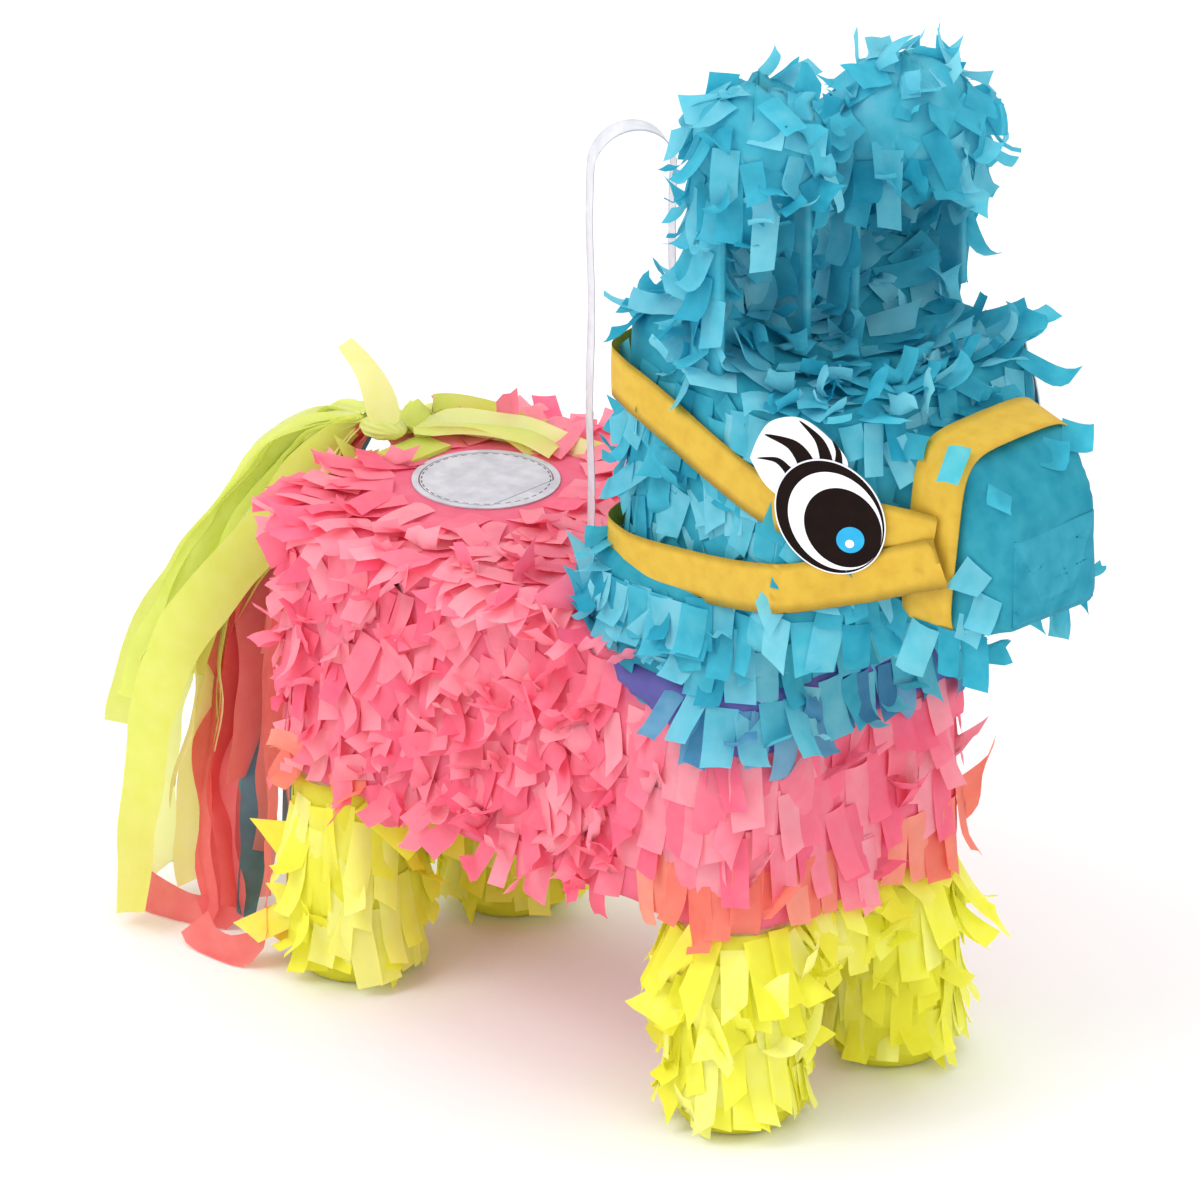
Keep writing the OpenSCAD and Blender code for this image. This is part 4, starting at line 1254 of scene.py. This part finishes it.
def makeBand(look):
    lo, hi = [Vector(c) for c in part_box("hanging_band")]
    middle = (lo + hi) / 2
    turn = math.radians(look["turn"])
    across = Vector((math.cos(turn), math.sin(turn), 0))
    sideways = Vector((-across.y, across.x, 0))
    radius, steps = look["radius"], look["steps"]
    springs = hi.z - radius

    def legPoints(side, wave):
        # a straight stretch that wavers a little, from the back up to where the round top springs
        found = []
        for k in range(steps + 1):
            z = lo.z + (springs - lo.z) * k / steps
            aside = across * (side * (radius - look["waver"] * math.sin(k * wave)))
            found.append(middle + aside + Vector((0, 0, z - middle.z)))
        return found
    arch = []
    for k in range(1, look["arch"]):
        a = math.pi * (1 - k / look["arch"])
        arch.append(middle + across * radius * math.cos(a)
                    + Vector((0, 0, springs - middle.z + radius * math.sin(a))))
    points = legPoints(-1, 0.9) + arch + legPoints(1, 0.7)[::-1]
    line = smoothLine(points, 3 * mm)
    bm = bmesh.new()
    addStrip(bm, line, [sideways] * len(line), look["width"], columns=4, camber=0.3 * mm)
    bmesh.ops.solidify(bm, geom=bm.faces[:], thickness=look["thick"])
    bmesh.ops.recalc_face_normals(bm, faces=bm.faces)
    sharp = [e for e in bm.edges if len(e.link_faces) == 2 and e.calc_face_angle(0) > 1.2]
    bmesh.ops.bevel(bm, geom=sharp, offset=0.2 * mm, affect="EDGES", segments=1, profile=0.5)
    addPiece("hangingBandStrip", bm, [bandPlastic], "hanging_band", ["hanging_band"])


# Label and the bare card parts

labelSet = {"dashRadius": 28.2 * mm, "dashHalf": 0.32 * mm, "dashes": 38, "gap": -0.2, "paper": "#C8C6CC",
            "shadow": "#B2B0B7", "ink": "#55555C", "below": "#FF8FA6"}


# Uncoated label paper: dull grey-white with a dashed tear line printed near its edge. What lies below
# the level of the back takes the back's pink.
def printedLabel(name, look):
    material, tree = newMaterial(name)
    place = addNode(tree, "ShaderNodeTexCoord").outputs["Object"]
    local = addNode(tree, "ShaderNodeVectorMath",
                    {"operation": "SUBTRACT", 1: (labelMiddle.x, labelMiddle.y, 0)}, {0: place})
    part = addNode(tree, "ShaderNodeSeparateXYZ", links={"Vector": local.outputs["Vector"]})
    flat = addNode(tree, "ShaderNodeVectorMath", {"operation": "MULTIPLY", 1: (1, 1, 0)},
                   {0: local.outputs["Vector"]})
    away = addNode(tree, "ShaderNodeVectorMath", {"operation": "LENGTH"}, {0: flat.outputs["Vector"]})
    fromLine = addNode(tree, "ShaderNodeMath", {"operation": "SUBTRACT", 1: look["dashRadius"]},
                       {0: away.outputs["Value"]})
    near = addNode(tree, "ShaderNodeMath", {"operation": "ABSOLUTE"}, {0: fromLine.outputs[0]})
    onLine = addNode(tree, "ShaderNodeMath", {"operation": "LESS_THAN", 1: look["dashHalf"]},
                     {0: near.outputs[0]})
    angle = addNode(tree, "ShaderNodeMath", {"operation": "ARCTAN2"},
                    {0: part.outputs["Y"], 1: part.outputs["X"]})
    many = addNode(tree, "ShaderNodeMath", {"operation": "MULTIPLY", 1: look["dashes"]},
                   {0: angle.outputs[0]})
    wave = addNode(tree, "ShaderNodeMath", {"operation": "SINE"}, {0: many.outputs[0]})
    dash = addNode(tree, "ShaderNodeMath", {"operation": "GREATER_THAN", 1: look["gap"]},
                   {0: wave.outputs[0]})
    ink = addNode(tree, "ShaderNodeMath", {"operation": "MULTIPLY"},
                  {0: onLine.outputs[0], 1: dash.outputs[0]})
    mottle = addNode(tree, "ShaderNodeTexNoise", {"Scale": 1 / (8 * mm), "Detail": 4}, {"Vector": place})
    paper = addNode(tree, "ShaderNodeValToRGB", links={"Fac": mottle.outputs["Fac"]})
    paper.color_ramp.elements[0].position = 0.3
    paper.color_ramp.elements[0].color = toLinear(look["shadow"])
    paper.color_ramp.elements[1].position = 0.65
    paper.color_ramp.elements[1].color = toLinear(look["paper"])
    printed = addNode(tree, "ShaderNodeMix", {"data_type": "RGBA", 7: toLinear(look["ink"])},
                      {0: ink.outputs[0], 6: paper.outputs["Color"]})
    below = addNode(tree, "ShaderNodeMath", {"operation": "LESS_THAN", 1: backTop}, {0: part.outputs["Z"]})
    both = addNode(tree, "ShaderNodeMix", {"data_type": "RGBA", 7: toLinear(look["below"])},
                   {0: below.outputs[0], 6: printed.outputs[2]})
    tooth = addNode(tree, "ShaderNodeTexNoise", {"Scale": 1 / (0.8 * mm), "Detail": 5}, {"Vector": place})
    bump = addNode(tree, "ShaderNodeBump", {"Strength": 0.3, "Distance": 0.15 * mm},
                   {"Height": tooth.outputs["Fac"]})
    surface = addNode(tree, "ShaderNodeBsdfPrincipled", {"Roughness": 0.7, "IOR": 1.47},
                      {"Base Color": both.outputs[2], "Normal": bump.outputs["Normal"]})
    addNode(tree, "ShaderNodeOutputMaterial", links={"Surface": surface.outputs["BSDF"]})
    return material


def finishCadNodes():
    finishes = (
        (brownBoard, ("back_panel", "belly_panel", "trunk_wrap", "head_wrap", "crown_panel", "throat_panel",
                      "muzzle_sleeve", "neck_sleeve", "hanger_plate", "fill_flap",
                      *[n + "_leg" for n in legNames])),
        (lemonTissue, [n + "_foot" for n in legNames]),
        (bandPlastic, ("band_ends", "band_knots")),
        (streamerYellow, ("tail_tab",)),
        (printedLabel("labelPaper", labelSet), ("label_rim", "flap_label")),
    )
    for material, names in finishes:
        for name in names:
            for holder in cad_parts[name].material_slots:
                holder.link = "OBJECT"
                holder.material = material


print("stage: trunk")
makeTrunk(trunkSet)
print("stage: legs")
makeLegs(legSet)
makeLegBridge(legSet)
print("stage: head")
headSurface = makeHead(headSet)
makeNose(noseSet)
makeCollar(headSet)
print("stage: ears")
makeEar("right", earSet["right"], earSet)
makeEar("left", earSet["left"], earSet)
print("stage: straps and eyes")
makeStraps(strapSet)
makeNoseband(nosebandSet)
makeEye("right", eyeSet)
makeEye("left", eyeSet)
print("stage: tail, band and label")
makeTail(tailSet)
makeBand(bandSet)
finishCadNodes()


# Floor

def addFloor():
    bm = bmesh.new()
    bmesh.ops.create_grid(bm, x_segments=1, y_segments=1, size=6)
    mesh = bpy.data.meshes.new("floor")
    bm.to_mesh(mesh)
    bm.free()
    floor = bpy.data.objects.new("floor", mesh)
    material, tree = newMaterial("whitePaintedFloor")
    # emulsion paint: pale and quite dull
    surface = addNode(tree, "ShaderNodeBsdfPrincipled",
                      {"Base Color": (0.93, 0.93, 0.93, 1), "Roughness": 0.9})
    addNode(tree, "ShaderNodeOutputMaterial", links={"Surface": surface.outputs["BSDF"]})
    mesh.materials.append(material)
    bpy.context.scene.collection.objects.link(floor)


addFloor()
